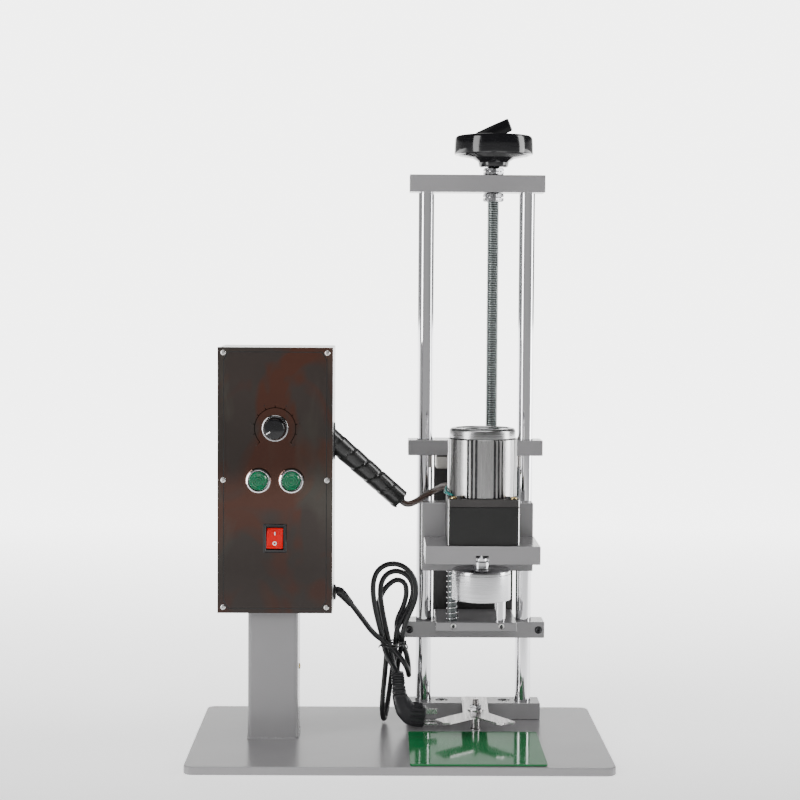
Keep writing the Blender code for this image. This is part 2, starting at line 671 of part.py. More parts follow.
def capping_head():
    axis = (SPINDLE_X, SPINDLE_Y, 0)
    turned("output_shaft", rod_profile(SHAFT_R, HUB_TOP - 0.011, 0.2555, 0.0006), axis, "chrome", "spindle")
    bore = hole_radius(SHAFT_R)
    profile = [
        (0, HEAD_BOTTOM + CUP_DEPTH), (CUP_R, HEAD_BOTTOM + CUP_DEPTH), (CUP_R + 0.0015, HEAD_BOTTOM),
        (HEAD_R - 0.0006, HEAD_BOTTOM), (HEAD_R, HEAD_BOTTOM + 0.0006), (HEAD_R, HEAD_TOP - 0.0008),
        (HEAD_R - 0.0008, HEAD_TOP), (HUB_R, HEAD_TOP), (HUB_R, HUB_TOP), (bore, HUB_TOP),
        (bore, HUB_TOP - 0.0115), (0, HUB_TOP - 0.0115),
    ]
    turned("capping_head", profile, axis, "head_aluminium", "spindle", sides=32)
    outer_low = CUP_R + 0.0015 - GAP
    outer_high = CUP_R - GAP
    high = HEAD_BOTTOM + CUP_DEPTH - GAP
    liner = [
        (outer_low - LINER * 0.6, HEAD_BOTTOM - 0.0002), (outer_low - 0.0001, HEAD_BOTTOM - 0.0002),
        (outer_high, high), (outer_high - LINER - 0.003, high),
    ]
    turned("chuck_liner", liner, axis, "black_rubber", "spindle", closed=True)


# ---------------------------------------------------------------- bottle locator
def locator():
    x, y = STUD
    outline = [
        (0.1030, 0.0940), (0.0995, 0.0975), (0.0770, 0.0975), (0.0735, 0.0940), (0.0718, 0.0150),
        (0.0415, -0.0160), (0.0400, -0.0200), (0.0430, -0.0235), (0.0455, -0.0265), (0.0480, -0.0340),
        (0.0560, -0.0335), (0.0855, -0.0045), (0.1065, -0.0330), (0.1120, -0.0365), (0.1150, -0.0335),
        (0.1200, -0.0300), (0.1250, -0.0320), (0.1275, -0.0270), (0.1005, 0.0150),
    ]
    plate = prism("locator_plate", outline, *LOCATOR_Z, "stainless", "locator")
    slot_r = STUD_R + 0.0004
    bm = bmesh.new()
    arc = [math.radians(i * 30) for i in range(7)]
    ends = [(x + slot_r * math.cos(a), y + SLOT_HALF + slot_r * math.sin(a)) for a in arc]
    ends += [(x - slot_r * math.cos(a), y - 0.010 - slot_r * math.sin(a)) for a in arc]
    add_prism(bm, ends, 0.02, 0.04)
    cutter = finish("locator_slot", to_mesh("locator_slot", bm), None, "locator")
    combine(plate, cutter, "DIFFERENCE")
    stand_r = 0.0048
    top = BASE_TOP + GAP
    low, high = LOCATOR_Z
    turned("locator_stud", [
        (0, top), (stand_r + 0.0012, top), (stand_r, top + 0.0015), (stand_r, low - GAP), (STUD_R - 0.0002, low - GAP),
        (STUD_R - 0.0002, STUD_TOP - 0.0008), (STUD_R - 0.001, STUD_TOP), (0, STUD_TOP),
    ], (x, y, 0), "stainless", "frame")
    nut = prism("locator_nut", polygon(6, 0.0072), high + GAP, high + 0.0062, "stainless", "frame", centre=(x, y, 0))
    drill(nut, "frame", ((x, y, 0), UP, hole_radius(STUD_R), high - 0.01, high + 0.02))


# ---------------------------------------------------------------- control box
def column():
    half = COLUMN_SIZE / 2
    post = prism("column", rounded_rectangle(COLUMN_SIZE, COLUMN_SIZE, 0.004, 3), BASE_TOP + GAP, BOX_Z[0] - GAP,
                 "grey_paint", centre=(COLUMN_X, COLUMN_Y, 0))
    inner = half - COLUMN_WALL
    pocket(post, "frame", (
        (COLUMN_X - inner, COLUMN_Y - inner, 0), (COLUMN_X + inner, COLUMN_Y + inner, BOX_Z[0] + 0.01),
    ))


def control_box():
    half = BOX_WIDTH / 2
    shell = box("control_box", (BOX_X - half, BOX_FRONT, BOX_Z[0]), (BOX_X + half, BOX_BACK, BOX_Z[1]), "box_paint",
                bevel=0.0008)
    pocket(shell, "frame", (
        (BOX_X - half + BOX_WALL, BOX_FRONT - 0.01, BOX_Z[0] + BOX_WALL),
        (BOX_X + half - BOX_WALL, BOX_BACK - BOX_WALL, BOX_Z[1] - BOX_WALL),
    ))
    side = BOX_X + half
    drill(shell, "frame",
          ((side, LOOM_HOLE_Y, LOOM_HOLE_Z), (1, 0, 0), hole_radius(LOOM_HOLE_R), -0.01, 0.01),
          ((side, CORD_EXIT[1], CORD_EXIT[2]), (1, 0, 0), hole_radius(0.0060), -0.01, 0.01))

    panel = box("front_panel", (BOX_X - half, PANEL_FRONT, BOX_Z[0]), (BOX_X + half, PANEL_BACK, BOX_Z[1]),
                "mirror_panel")
    holes = [((BOX_X, PANEL_FRONT, KNOB_Z), BACKWARD, hole_radius(0.0046), -0.01, 0.01)]
    for side in (-1, 1):
        place = (BOX_X + side * BUTTON_SPAN, PANEL_FRONT, BUTTON_Z)
        holes.append((place, BACKWARD, hole_radius(BUTTON_BARREL_R), -0.01, 0.01))
    drill(panel, "frame", *holes)
    width, height = SWITCH_BODY
    clear = 2 * GAP
    pocket(panel, "frame", (
        (BOX_X - width / 2 - clear, PANEL_FRONT - 0.01, SWITCH_Z - height / 2 - clear),
        (BOX_X + width / 2 + clear, PANEL_BACK + 0.01, SWITCH_Z + height / 2 + clear),
    ))


def speed_control():
    """The knob turns with its shaft in the potentiometer's bush."""
    centre = (BOX_X, PANEL_FRONT, KNOB_Z)
    shaft_r = 0.0030
    knob = [
        (0, -0.0170), (0.0100, -0.0170), (0.0110, -0.0160), (0.0122, -0.0045), (0.0128, -0.0040),
        (KNOB_R - 0.0004, -0.0034), (KNOB_R, -0.0030), (KNOB_R, -0.0008), (0.0070, -0.0008), (0.0070, -0.0035),
        (shaft_r, -0.0035), (shaft_r, 0.0085), (0, 0.0085),
    ]
    turned("speed_knob", knob, centre, "black_plastic", "knob", axis=BACKWARD)
    bush = hole_radius(shaft_r, FIT)
    body = [
        (bush, -0.0026), (0.0046, -0.0026), (0.0046, 0.0025), (0.0120, 0.0025), (0.0120, 0.0125), (0, 0.0125),
        (0, 0.0092), (bush, 0.0092),
    ]
    bm = bmesh.new()
    add_turned(bm, [(0, 0.0092), (bush, 0.0092), *body[:6]], centre, BACKWARD)
    finish("potentiometer", to_mesh("potentiometer", bm), "dark_steel", "frame")


def push_buttons():
    for side, label in ((-1, "left"), (1, "right")):
        centre = (BOX_X + side * BUTTON_SPAN, PANEL_FRONT, BUTTON_Z)
        mouth = hole_radius(BUTTON_LENS_R, FIT)
        guide = hole_radius(BUTTON_STEM_R, FIT)
        housing = [
            (guide, 0.0), (mouth, 0.0), (mouth, -0.0045), (0.0116, -0.0052), (0.0130, -0.0046),
            (BUTTON_RING_R, -0.0025), (BUTTON_RING_R, -GAP), (BUTTON_BARREL_R, -GAP), (BUTTON_BARREL_R, 0.0300),
            (0, 0.0300), (0, 0.0200), (guide, 0.0200),
        ]
        bm = bmesh.new()
        add_turned(bm, [(0, 0.0200), (guide, 0.0200), *housing[:10]], centre, BACKWARD)
        finish(f"button_housing_{label}", to_mesh(f"button_housing_{label}", bm), "chrome", "frame")
        lens = [
            (0, -0.0078), (0.0060, -0.0076), (BUTTON_LENS_R - 0.0010, -0.0066), (BUTTON_LENS_R, -0.0058),
            (BUTTON_LENS_R, -0.0032), (BUTTON_STEM_R, -0.0032), (BUTTON_STEM_R, 0.0150), (0, 0.0150),
        ]
        turned(f"button_lens_{label}", lens, centre, "green_lens", f"button_{label}", axis=BACKWARD, sides=20)


def power_switch():
    width, height = SWITCH_BODY
    bm = bmesh.new()
    add_box(bm, (BOX_X - width / 2, PANEL_FRONT - 0.001, SWITCH_Z - height / 2),
            (BOX_X + width / 2, PANEL_FRONT + 0.022, SWITCH_Z + height / 2))
    body = finish("switch_housing", to_mesh("switch_housing", bm), "black_plastic", "frame")
    bezel = box("switch_bezel", (BOX_X - SWITCH_BEZEL[0] / 2, PANEL_FRONT - 0.0022, SWITCH_Z - SWITCH_BEZEL[1] / 2),
                (BOX_X + SWITCH_BEZEL[0] / 2, PANEL_FRONT - GAP, SWITCH_Z + SWITCH_BEZEL[1] / 2), None)
    soften(bezel, 0.0008)
    combine(body, bezel, "UNION")
    clear = 0.0004
    pocket(body, "frame", (
        (BOX_X - ROCKER[0] / 2 - clear, PANEL_FRONT - 0.01, SWITCH_Z - ROCKER[1] / 2 - clear - 0.0004),
        (BOX_X + ROCKER[0] / 2 + clear, PANEL_FRONT + 0.014, SWITCH_Z + ROCKER[1] / 2 + clear + 0.0004),
    ))
    # side view of the rocker, y front to back and z down: a shallow V face on a round belly, its lower end proud
    tall = ROCKER[1] / 2
    pivot = PIVOTS["rocker"][0]
    side_view = [(-0.0012, -tall), (-0.0036, 0.0), (-0.0064, tall - 0.0018), (-0.0048, tall - 0.0006)]
    side_view += [(tall * 0.95 * math.sin(a), tall * 0.95 * math.cos(a))
                  for a in (math.radians(20 + i * 20) for i in range(8))]
    bm = bmesh.new()
    rings = [[bm.verts.new((pivot[0] + side * ROCKER[0] / 2, pivot[1] + y, pivot[2] - z)) for y, z in side_view]
             for side in (-1, 1)]
    count = len(side_view)
    for i in range(count):
        j = (i + 1) % count
        bm.faces.new((rings[0][i], rings[0][j], rings[1][j], rings[1][i]))
    bm.faces.new(reversed(rings[0]))
    bm.faces.new(rings[1])
    finish("power_rocker", to_mesh("power_rocker", bm), "red_plastic", "rocker")


def electronics():
    back = BOX_BACK - BOX_WALL - GAP
    box("control_board", (BOX_X - 0.040, back - 0.012, 0.210), (BOX_X + 0.030, back, 0.330), "circuit_board",
        bevel=0.0008)
    turned("motor_capacitor", rod_profile(0.0175, 0.0, 0.062, 0.0015), (BOX_X + 0.015, 0.022, BOX_Z[0] + 0.0075),
           "black_plastic", "frame")
    side = BOX_X + BOX_WIDTH / 2
    turned("loom_grommet", [
        (LOOM_HOLE_R - 0.0009, -0.0018), (LOOM_HOLE_R - 0.0002, -0.0018), (LOOM_HOLE_R - 0.0002, GAP),
        (LOOM_HOLE_R + 0.0018, GAP), (LOOM_HOLE_R + 0.0018, 0.0015), (LOOM_HOLE_R - 0.0009, 0.0015),
    ], (side, LOOM_HOLE_Y, LOOM_HOLE_Z), "black_rubber", "frame", axis=(1, 0, 0), closed=True)
    turned("power_gland", [
        (0, -0.0060), (0.0060, -0.0060), (0.0060, 0.0003), (0.0078, 0.0003), (0.0078, 0.0020), (0.0058, 0.0026),
        (CORD_R + 0.0006, CORD_EXIT[0] - side), (0, CORD_EXIT[0] - side),
    ], (side, CORD_EXIT[1], CORD_EXIT[2]), "black_rubber", "frame", axis=(1, 0, 0), sides=20)


# ---------------------------------------------------------------- cords
LOOM_ROUTE = [
    (-0.0830, 0.0020, 0.3446), (-0.0736, 0.0060, 0.3360), (-0.0500, 0.0150, 0.3143), (-0.0250, 0.0245, 0.2914),
    (0.0005, 0.0335, 0.2680),
]
LEADS_ROUTE = [
    (0.0008, 0.0337, 0.2677), (0.0050, 0.0355, 0.2643), (0.0110, 0.0400, 0.2630), (0.0190, 0.0450, 0.2655),
    (0.0280, 0.0460, 0.2710), (0.0390, 0.0380, 0.2775), (0.0480, 0.0180, 0.2850), (0.0540, 0.0050, 0.2875),
    (0.0578, -0.0010, 0.2885),
]
CORD_LEAD_ROUTE = [
    (CORD_EXIT[0] + 2 * GAP, CORD_EXIT[1], CORD_EXIT[2]), (-0.0660, 0.0200, 0.1653), (-0.0535, 0.0250, 0.1505),
    (-0.0400, 0.0340, 0.1310), (-0.0330, 0.0390, 0.1210), (-0.0287, 0.0420, 0.1150),
]
HANK_OUTLINE = [
    (-0.0130, 0.0098), (-0.0020, 0.0180), (0.0040, 0.0560), (0.0080, 0.0900), (0.0120, 0.1230), (0.0205, 0.1480),
    (0.0215, 0.1650), (0.0140, 0.1830), (0.0000, 0.1940), (-0.0130, 0.1950), (-0.0260, 0.1860), (-0.0320, 0.1700),
    (-0.0300, 0.1450), (-0.0250, 0.1180), (-0.0240, 0.0900), (-0.0225, 0.0560), (-0.0230, 0.0160), (-0.0190, 0.0098),
]
HANK_Y = (0.0480, 0.0705)
PLUG_Y = (0.0170, 0.0440)


def cords():
    tube("wire_loom", LOOM_ROUTE, LOOM_R, "black_rubber", spacing=0.014, resolution=3)
    tube("motor_leads", LEADS_ROUTE, 0.0040, "black_rubber", "head_unit", spacing=0.006)
    tube("power_cord_lead", CORD_LEAD_ROUTE, CORD_R, "black_rubber", spacing=0.005)
    bm = bmesh.new()
    outline = [(x, -z) for x, z in HANK_OUTLINE]
    add_prism(bm, outline, *HANK_Y, axis=BACKWARD)
    finish("power_cord_hank", to_mesh("power_cord_hank", bm), "black_rubber", "frame")


def mains_plug():
    """An angled plug: a ribbed strain relief at the top, a body that leans to the right, and three flat pins."""
    body = [
        (-0.0070, 0.0700), (0.0070, 0.0700), (0.0090, 0.0480), (0.0130, 0.0400), (0.0290, 0.0360), (0.0300, 0.0160),
        (0.0240, 0.0095), (0.0140, 0.0095), (0.0020, 0.0180), (-0.0080, 0.0220), (-0.0090, 0.0420),
    ]
    bm = bmesh.new()
    add_prism(bm, [(x, -z) for x, z in body], *PLUG_Y, axis=BACKWARD)
    plug = finish("mains_plug", to_mesh("mains_plug", bm), "black_rubber", "frame")
    soften(plug, 0.0016)
    bm = bmesh.new()
    middle = sum(PLUG_Y) / 2
    for y, z, half_y, half_z in ((middle, 0.0300, 0.0008, 0.0032), (middle - 0.007, 0.0170, 0.0030, 0.0008),
                                 (middle + 0.007, 0.0170, 0.0030, 0.0008)):
        add_box(bm, (0.0280, y - half_y, z - half_z), (0.0440, y + half_y, z + half_z))
    pins = finish("plug_pins", to_mesh("plug_pins", bm), None, "frame")
    combine(plug, pins, "UNION")


def build():
    clear_scene()
    make_materials()
    make_pivots()
    base()
    foot()
    guide_rods()
    top_bar()
    lead_screw()
    handwheel()
    fold_handle()
    lift_cage()
    support()
    head_carrier()
    motor()
    gear_train()
    capping_head()
    locator()
    column()
    control_box()
    speed_control()
    push_buttons()
    power_switch()
    electronics()
    cords()
    mains_plug()


build()
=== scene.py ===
"""Bench capping machine: its visual model.

Metres, +Z up, the operator stands at -Y. Every mesh is made in place, in the frame's own coordinates.
"""
import json
import math

import bmesh
import bpy
import numpy as np
from mathutils import Matrix, Vector


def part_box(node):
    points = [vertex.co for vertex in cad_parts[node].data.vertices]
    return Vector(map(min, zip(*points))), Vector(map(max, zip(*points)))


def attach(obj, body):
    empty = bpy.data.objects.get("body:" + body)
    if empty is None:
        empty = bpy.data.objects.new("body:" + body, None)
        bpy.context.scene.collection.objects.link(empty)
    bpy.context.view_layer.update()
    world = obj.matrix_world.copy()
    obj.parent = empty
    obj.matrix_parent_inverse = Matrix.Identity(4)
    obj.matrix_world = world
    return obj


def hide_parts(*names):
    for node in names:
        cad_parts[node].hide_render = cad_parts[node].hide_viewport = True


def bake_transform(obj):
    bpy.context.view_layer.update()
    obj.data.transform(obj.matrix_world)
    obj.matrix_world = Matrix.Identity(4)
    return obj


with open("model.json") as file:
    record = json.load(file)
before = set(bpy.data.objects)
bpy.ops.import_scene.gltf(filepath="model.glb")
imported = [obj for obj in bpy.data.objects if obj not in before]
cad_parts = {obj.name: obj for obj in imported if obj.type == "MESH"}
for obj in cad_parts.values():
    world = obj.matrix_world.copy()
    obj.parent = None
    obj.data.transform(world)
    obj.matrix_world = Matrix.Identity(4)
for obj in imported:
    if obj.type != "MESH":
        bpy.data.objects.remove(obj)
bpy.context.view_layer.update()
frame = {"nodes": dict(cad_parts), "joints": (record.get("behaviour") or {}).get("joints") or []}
NODES = frame["nodes"]

UP = (0, 0, 1)
FRONT = (0, -1, 0)
BACK = (0, 1, 0)
RIGHT = (1, 0, 0)


# ---------------------------------------------------------------- where things are
def middle(node):
    low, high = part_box(node)
    return (low + high) / 2


ROD_LEFT, ROD_RIGHT = middle("guide_rod_left"), middle("guide_rod_right")
SCREW = middle("lead_screw")
SPINDLE = middle("motor_body")
STUD = middle("locator_stud")
SPRING_AXIS, PLAIN_AXIS = middle("spring_post"), middle("plain_post")
KNOB = middle("speed_knob")
BUTTONS = {side: middle(f"button_lens_{side}") for side in ("left", "right")}
PANEL_LOW, PANEL_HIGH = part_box("front_panel")
PANEL_FACE = PANEL_LOW.y
BASE_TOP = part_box("base_plate")[1].z
GLAND = Vector((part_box("control_box")[1].x, middle("power_gland").y, middle("power_gland").z))


# ---------------------------------------------------------------- materials
class Finish:
    """A node material: a Principled shader with helpers for what drives its colour, roughness and bump."""

    def __init__(self, name, colour, roughness, metallic=0.0, coat=0.0, coat_roughness=0.05):
        self.material = bpy.data.materials.new(name)
        self.material.use_nodes = True
        self.tree = self.material.node_tree
        self.shader = self.tree.nodes["Principled BSDF"]
        self.colour = colour
        self.roughness = roughness
        self.shader.inputs["Base Color"].default_value = (*colour, 1)
        self.shader.inputs["Roughness"].default_value = roughness
        self.shader.inputs["Metallic"].default_value = metallic
        self.shader.inputs["Coat Weight"].default_value = coat
        self.shader.inputs["Coat Roughness"].default_value = coat_roughness
        self.coords = self.tree.nodes.new("ShaderNodeTexCoord").outputs["Object"]

    def node(self, kind, **settings):
        made = self.tree.nodes.new(kind)
        for key, value in settings.items():
            setattr(made, key, value)
        return made

    def link(self, source, target):
        self.tree.links.new(source, target)

    def stretched(self, stretch):
        mapping = self.node("ShaderNodeMapping")
        mapping.inputs["Scale"].default_value = stretch
        self.link(self.coords, mapping.inputs["Vector"])
        return mapping.outputs["Vector"]

    def noise(self, scale, detail=4.0, stretch=(1, 1, 1), roughness=0.5, distortion=0.0):
        made = self.node("ShaderNodeTexNoise")
        made.inputs["Scale"].default_value = scale
        made.inputs["Detail"].default_value = detail
        made.inputs["Roughness"].default_value = roughness
        made.inputs["Distortion"].default_value = distortion
        self.link(self.stretched(stretch), made.inputs["Vector"])
        return made.outputs["Fac"]

    def cells(self, scale, stretch=(1, 1, 1)):
        made = self.node("ShaderNodeTexVoronoi")
        made.inputs["Scale"].default_value = scale
        self.link(self.stretched(stretch), made.inputs["Vector"])
        return made.outputs["Distance"]

    def span(self, value, low, high, out_low, out_high):
        made = self.node("ShaderNodeMapRange")
        for socket, number in zip(("From Min", "From Max", "To Min", "To Max"),
                                  (low, high, out_low, out_high)):
            made.inputs[socket].default_value = number
        self.link(value, made.inputs["Value"])
        return made.outputs["Result"]

    def mixed(self, factor, first, second):
        made = self.node("ShaderNodeMix", data_type="RGBA")
        self.link(factor, made.inputs[0])
        for socket, value in ((6, first), (7, second)):
            if isinstance(value, tuple):
                made.inputs[socket].default_value = (*value, 1)
            else:
                self.link(value, made.inputs[socket])
        return made.outputs[2]

    def mottle(self, scale, amount, stretch=(1, 1, 1)):
        """Slow variation of the colour over the surface."""
        dark = tuple(c * (1 - amount) for c in self.colour)
        light = tuple(min(1, c * (1 + amount)) for c in self.colour)
        factor = self.span(self.noise(scale, 3, stretch), 0.3, 0.7, 0, 1)
        self.set_colour(self.mixed(factor, dark, light))

    def set_colour(self, socket):
        self.paint = socket
        self.link(socket, self.shader.inputs["Base Color"])

    def over(self, factor, colour):
        self.set_colour(self.mixed(factor, self.paint, colour))

    def uneven(self, scale, amount, stretch=(1, 1, 1)):
        """Roughness that wanders round its value."""
        low, high = max(0.0, self.roughness - amount), self.roughness + amount
        self.link(self.span(self.noise(scale, 5, stretch), 0.3, 0.7, low, high),
                  self.shader.inputs["Roughness"])

    def bump(self, height, distance, strength=1.0):
        made = self.node("ShaderNodeBump")
        made.inputs["Strength"].default_value = strength
        made.inputs["Distance"].default_value = distance
        self.link(height, made.inputs["Height"])
        previous = self.shader.inputs["Normal"]
        if previous.is_linked:
            self.link(previous.links[0].from_socket, made.inputs["Normal"])
        self.link(made.outputs["Normal"], self.shader.inputs["Normal"])


def paint(name, colour, roughness, coat=0.35):
    """Sprayed enamel: a faint orange peel, slow mottling, fine dark specks."""
    made = Finish(name, colour, roughness, coat=coat, coat_roughness=0.06)
    made.mottle(9, 0.045)
    made.over(made.span(made.noise(1300, 2), 0.74, 0.82, 0, 0.06), tuple(c * 0.65 for c in colour))
    made.uneven(40, 0.012)
    made.bump(made.noise(160, 1), 0.000004)
    return made.material


def brushed(name, colour, roughness, stretch, scale=500, depth=0.00003, tint=0.08, spread=0.08):
    """Metal with fine tool marks; stretch is small along the marks."""
    made = Finish(name, colour, roughness, metallic=1.0)
    made.mottle(scale, tint, stretch)
    made.over(made.span(made.noise(35, 5), 0.55, 0.75, 0, 0.12), tuple(c * 0.8 for c in colour))
    made.uneven(scale * 0.7, spread, stretch)
    made.bump(made.noise(scale, 4, stretch), depth)
    return made.material


def moulded(name, colour, roughness, coat=0.0, grain=700, depth=0.00002, tint=0.15):
    """Plastic or rubber with a fine moulded grain and handling marks."""
    made = Finish(name, colour, roughness, coat=coat)
    made.mottle(22, tint)
    made.over(made.span(made.noise(160, 6, roughness=0.7), 0.6, 0.8, 0, 0.35),
              tuple(c * 1.8 + 0.004 for c in colour))
    made.uneven(80, min(0.07, roughness * 0.6))
    made.bump(made.noise(grain, 3), depth)
    return made.material


def mirror_panel():
    """Dark tinted mirror film with fine wipe marks and dust; its warm and pale patches are painted
    reflections, and it is darker towards the bottom as painted shade.
    """
    made = Finish("mirror_panel", (0.100, 0.082, 0.074), 0.06, metallic=0.95, coat=0.15)
    made.mottle(9, 0.10)
    # painted reflection: warm reddish-brown patches
    painted_reflection_warm = made.span(made.noise(13, 2, (1, 1, 0.7), distortion=1.2), 0.50, 0.60, 0, 0.8)
    made.over(painted_reflection_warm, (0.170, 0.066, 0.043))
    # painted reflection: pale greyish patches
    painted_reflection_pale = made.span(made.noise(17, 3, (1.3, 1, 0.5), distortion=0.6), 0.58, 0.70, 0, 0.5)
    made.over(painted_reflection_pale, (0.155, 0.148, 0.125))
    # painted shade: the colour darkens towards the bottom of the panel
    split = made.node("ShaderNodeSeparateXYZ")
    made.link(made.coords, split.inputs[0])
    made.over(made.span(split.outputs["Z"], 0.20, 0.40, 0.75, 0), (0.022, 0.019, 0.018))
    made.over(made.span(made.noise(1100, 2), 0.70, 0.78, 0, 0.25), (0.3, 0.29, 0.28))
    made.uneven(45, 0.02, (1, 1, 0.25))
    made.bump(made.noise(16, 2), 0.00008, 0.4)
    return made.material


def rubber_mat():
    made = Finish("green_mat", (0.010, 0.150, 0.045), 0.09, coat=0.0)
    made.mottle(30, 0.12)
    made.over(made.span(made.cells(1500), 0.0, 0.25, 0.3, 0), (0.03, 0.2, 0.09))
    made.uneven(25, 0.02)
    made.bump(made.noise(40, 1), 0.000002)
    made.shader.inputs["Specular IOR Level"].default_value = 0.30
    return made.material


def lens_material():
    made = Finish("green_lens", (0.0, 0.105, 0.042), 0.12, coat=0.3, coat_roughness=0.03)
    made.mottle(90, 0.25)
    made.over(made.span(made.noise(240, 3), 0.5, 0.75, 0, 0.4), (0.004, 0.16, 0.07))
    made.uneven(200, 0.04)
    made.bump(made.noise(300, 2), 0.00004)
    made.shader.inputs["Subsurface Weight"].default_value = 0.15
    made.shader.inputs["Subsurface Radius"].default_value = (0.0005, 0.003, 0.0012)
    return made.material


def floor_material():
    """Matt white, lit from beneath behind the machine so that it meets the white room."""
    made = Finish("floor", (0.86, 0.86, 0.86), 0.6)
    made.mottle(60, 0.008)
    split = made.node("ShaderNodeSeparateXYZ")
    made.link(made.coords, split.inputs[0])
    made.shader.inputs["Emission Color"].default_value = (1, 1, 1, 1)
    made.link(made.span(split.outputs["Y"], -0.50, 1.90, 0.35, 4.7), made.shader.inputs["Emission Strength"])
    return made.material


def board_material():
    made = Finish("circuit_board", (0.02, 0.13, 0.05), 0.4, coat=0.4)
    made.mottle(40, 0.2)
    made.over(made.span(made.cells(420, (1, 1, 0.15)), 0.0, 0.1, 1, 0), (0.45, 0.34, 0.12))
    made.uneven(200, 0.08)
    made.bump(made.cells(420, (1, 1, 0.15)), 0.0001)
    return made.material


GREY = (0.225, 0.221, 0.226)
MATERIALS = {
    "grey_paint": paint("grey_paint", GREY, 0.26, 0.15),
    "box_paint": paint("box_paint", (0.22, 0.218, 0.22), 0.34, 0.25),
    # painted shade: near-black paint for the back plate, standing in for the shade behind the head
    "painted_shade_plate": paint("painted_shade_plate", (0.030, 0.029, 0.029), 0.40, 0.15),
    "green_mat": rubber_mat(),
    "chrome": brushed("chrome", (0.82, 0.82, 0.84), 0.07, (1, 1, 0.05), 380, 0.000001, 0.03, 0.025),
    "zinc_steel": brushed("zinc_steel", (0.56, 0.62, 0.61), 0.26, (1, 1, 1), 600, 0.00003, 0.12, 0.1),
    # painted shade: dark steel for the thread's grooves and the spring's post, standing in for shade
    "painted_shade_steel": brushed("painted_shade_steel", (0.10, 0.11, 0.11), 0.4, (1, 1, 1), 600, 0.00002, 0.15, 0.08),
    "nut_steel": brushed("nut_steel", (0.30, 0.30, 0.31), 0.22, (1, 1, 1), 500, 0.00002, 0.2, 0.08),
    "bezel_metal": brushed("bezel_metal", (0.42, 0.42, 0.43), 0.16, (1, 1, 1), 500, 0.000005, 0.1, 0.06),
    "dark_steel": brushed("dark_steel", (0.09, 0.09, 0.095), 0.32, (1, 1, 1), 500, 0.00003, 0.25, 0.1),
    "stainless": brushed("stainless", (0.52, 0.50, 0.50), 0.3, (1, 0.04, 1), 900, 0.000006, 0.08, 0.08),
    "motor_aluminium": brushed("motor_aluminium", (0.42, 0.415, 0.415), 0.26, (1, 1, 0.03), 700, 0.00001,
                               0.14, 0.08),
    "ring_aluminium": brushed("ring_aluminium", (0.46, 0.46, 0.465), 0.28, (0.03, 0.03, 1), 900, 0.00001,
                              0.12, 0.08),
    "head_aluminium": brushed("head_aluminium", (0.60, 0.60, 0.615), 0.24, (0.02, 0.02, 1), 900, 0.000001,
                              0.12, 0.07),
    "gearbox_paint": moulded("gearbox_paint", (0.008, 0.008, 0.0078), 0.45, 0.0, 500, 0.00006),
    "flange_paint": moulded("flange_paint", (0.032, 0.030, 0.029), 0.42, 0.0, 500, 0.00006),
    # bright bare metal, also laid on the gearbox's and flange's corners as a painted highlight
    "bare_metal_and_highlight": brushed("bare_metal_and_highlight", (0.70, 0.69, 0.68), 0.28, (1, 1, 0.1), 500, 0.00002, 0.2, 0.1),
    "bronze": brushed("bronze", (0.55, 0.36, 0.16), 0.3, (0.05, 0.05, 1), 500, 0.00003),
    "brass": brushed("brass", (0.72, 0.55, 0.27), 0.25, (1, 1, 1), 600, 0.00002, 0.15, 0.1),
    "black_plastic": moulded("black_plastic", (0.006, 0.006, 0.007), 0.13, 0.15, 500, 0.000002),
    "black_matt": moulded("black_matt", (0.014, 0.014, 0.015), 0.38),
    "black_rubber": moulded("black_rubber", (0.010, 0.010, 0.011), 0.36, 0.0, 900, 0.00002),
    "plug_rubber": moulded("plug_rubber", (0.017, 0.017, 0.019), 0.42, 0.0, 900, 0.00003),
    "wrap_plastic": moulded("wrap_plastic", (0.012, 0.012, 0.012), 0.30, 0.3, 600, 0.00003),
    "wire_grey": moulded("wire_grey", (0.10, 0.085, 0.08), 0.35),
    "wire_brown": moulded("wire_brown", (0.05, 0.028, 0.02), 0.35),
    "wire_teal": moulded("wire_teal", (0.02, 0.17, 0.16), 0.3),
    "mirror_panel": mirror_panel(),
    "green_lens": lens_material(),
    "red_plastic": moulded("red_plastic", (0.55, 0.003, 0.003), 0.22, 0.3, 500, 0.00001, 0.08),
    "white_print": moulded("white_print", (0.80, 0.80, 0.80), 0.4, 0.0, 500, 0.00001, 0.03),
    "black_print": moulded("black_print", (0.006, 0.006, 0.006), 0.5, 0.0, 500, 0.00001, 0.1),
    "cream_metal": brushed("cream_metal", (0.60, 0.58, 0.55), 0.4, (0.05, 1, 1), 500, 0.00003, 0.06, 0.06),
    "circuit_board": board_material(),
    "floor": floor_material(),
}


def finish_carried_nodes():
    """Every CAD node gets its slot's detailed material, but the back plate gets near-black painted shade;
    what is replaced later is hidden anyway.
    """
    for node in NODES.values():
        slots = node.data.materials
        for index, plain in enumerate(slots):
            # painted shade: the back plate is given near-black paint in place of its grey slot
            finish = "painted_shade_plate" if node is NODES["back_plate"] else plain.name.split(".")[0]
            slots[index] = MATERIALS[finish]
        if slots[0] is MATERIALS["grey_paint"]:
            softened = node.modifiers.new("softened", "BEVEL")
            softened.width, softened.segments, softened.harden_normals = 0.0006, 2, True


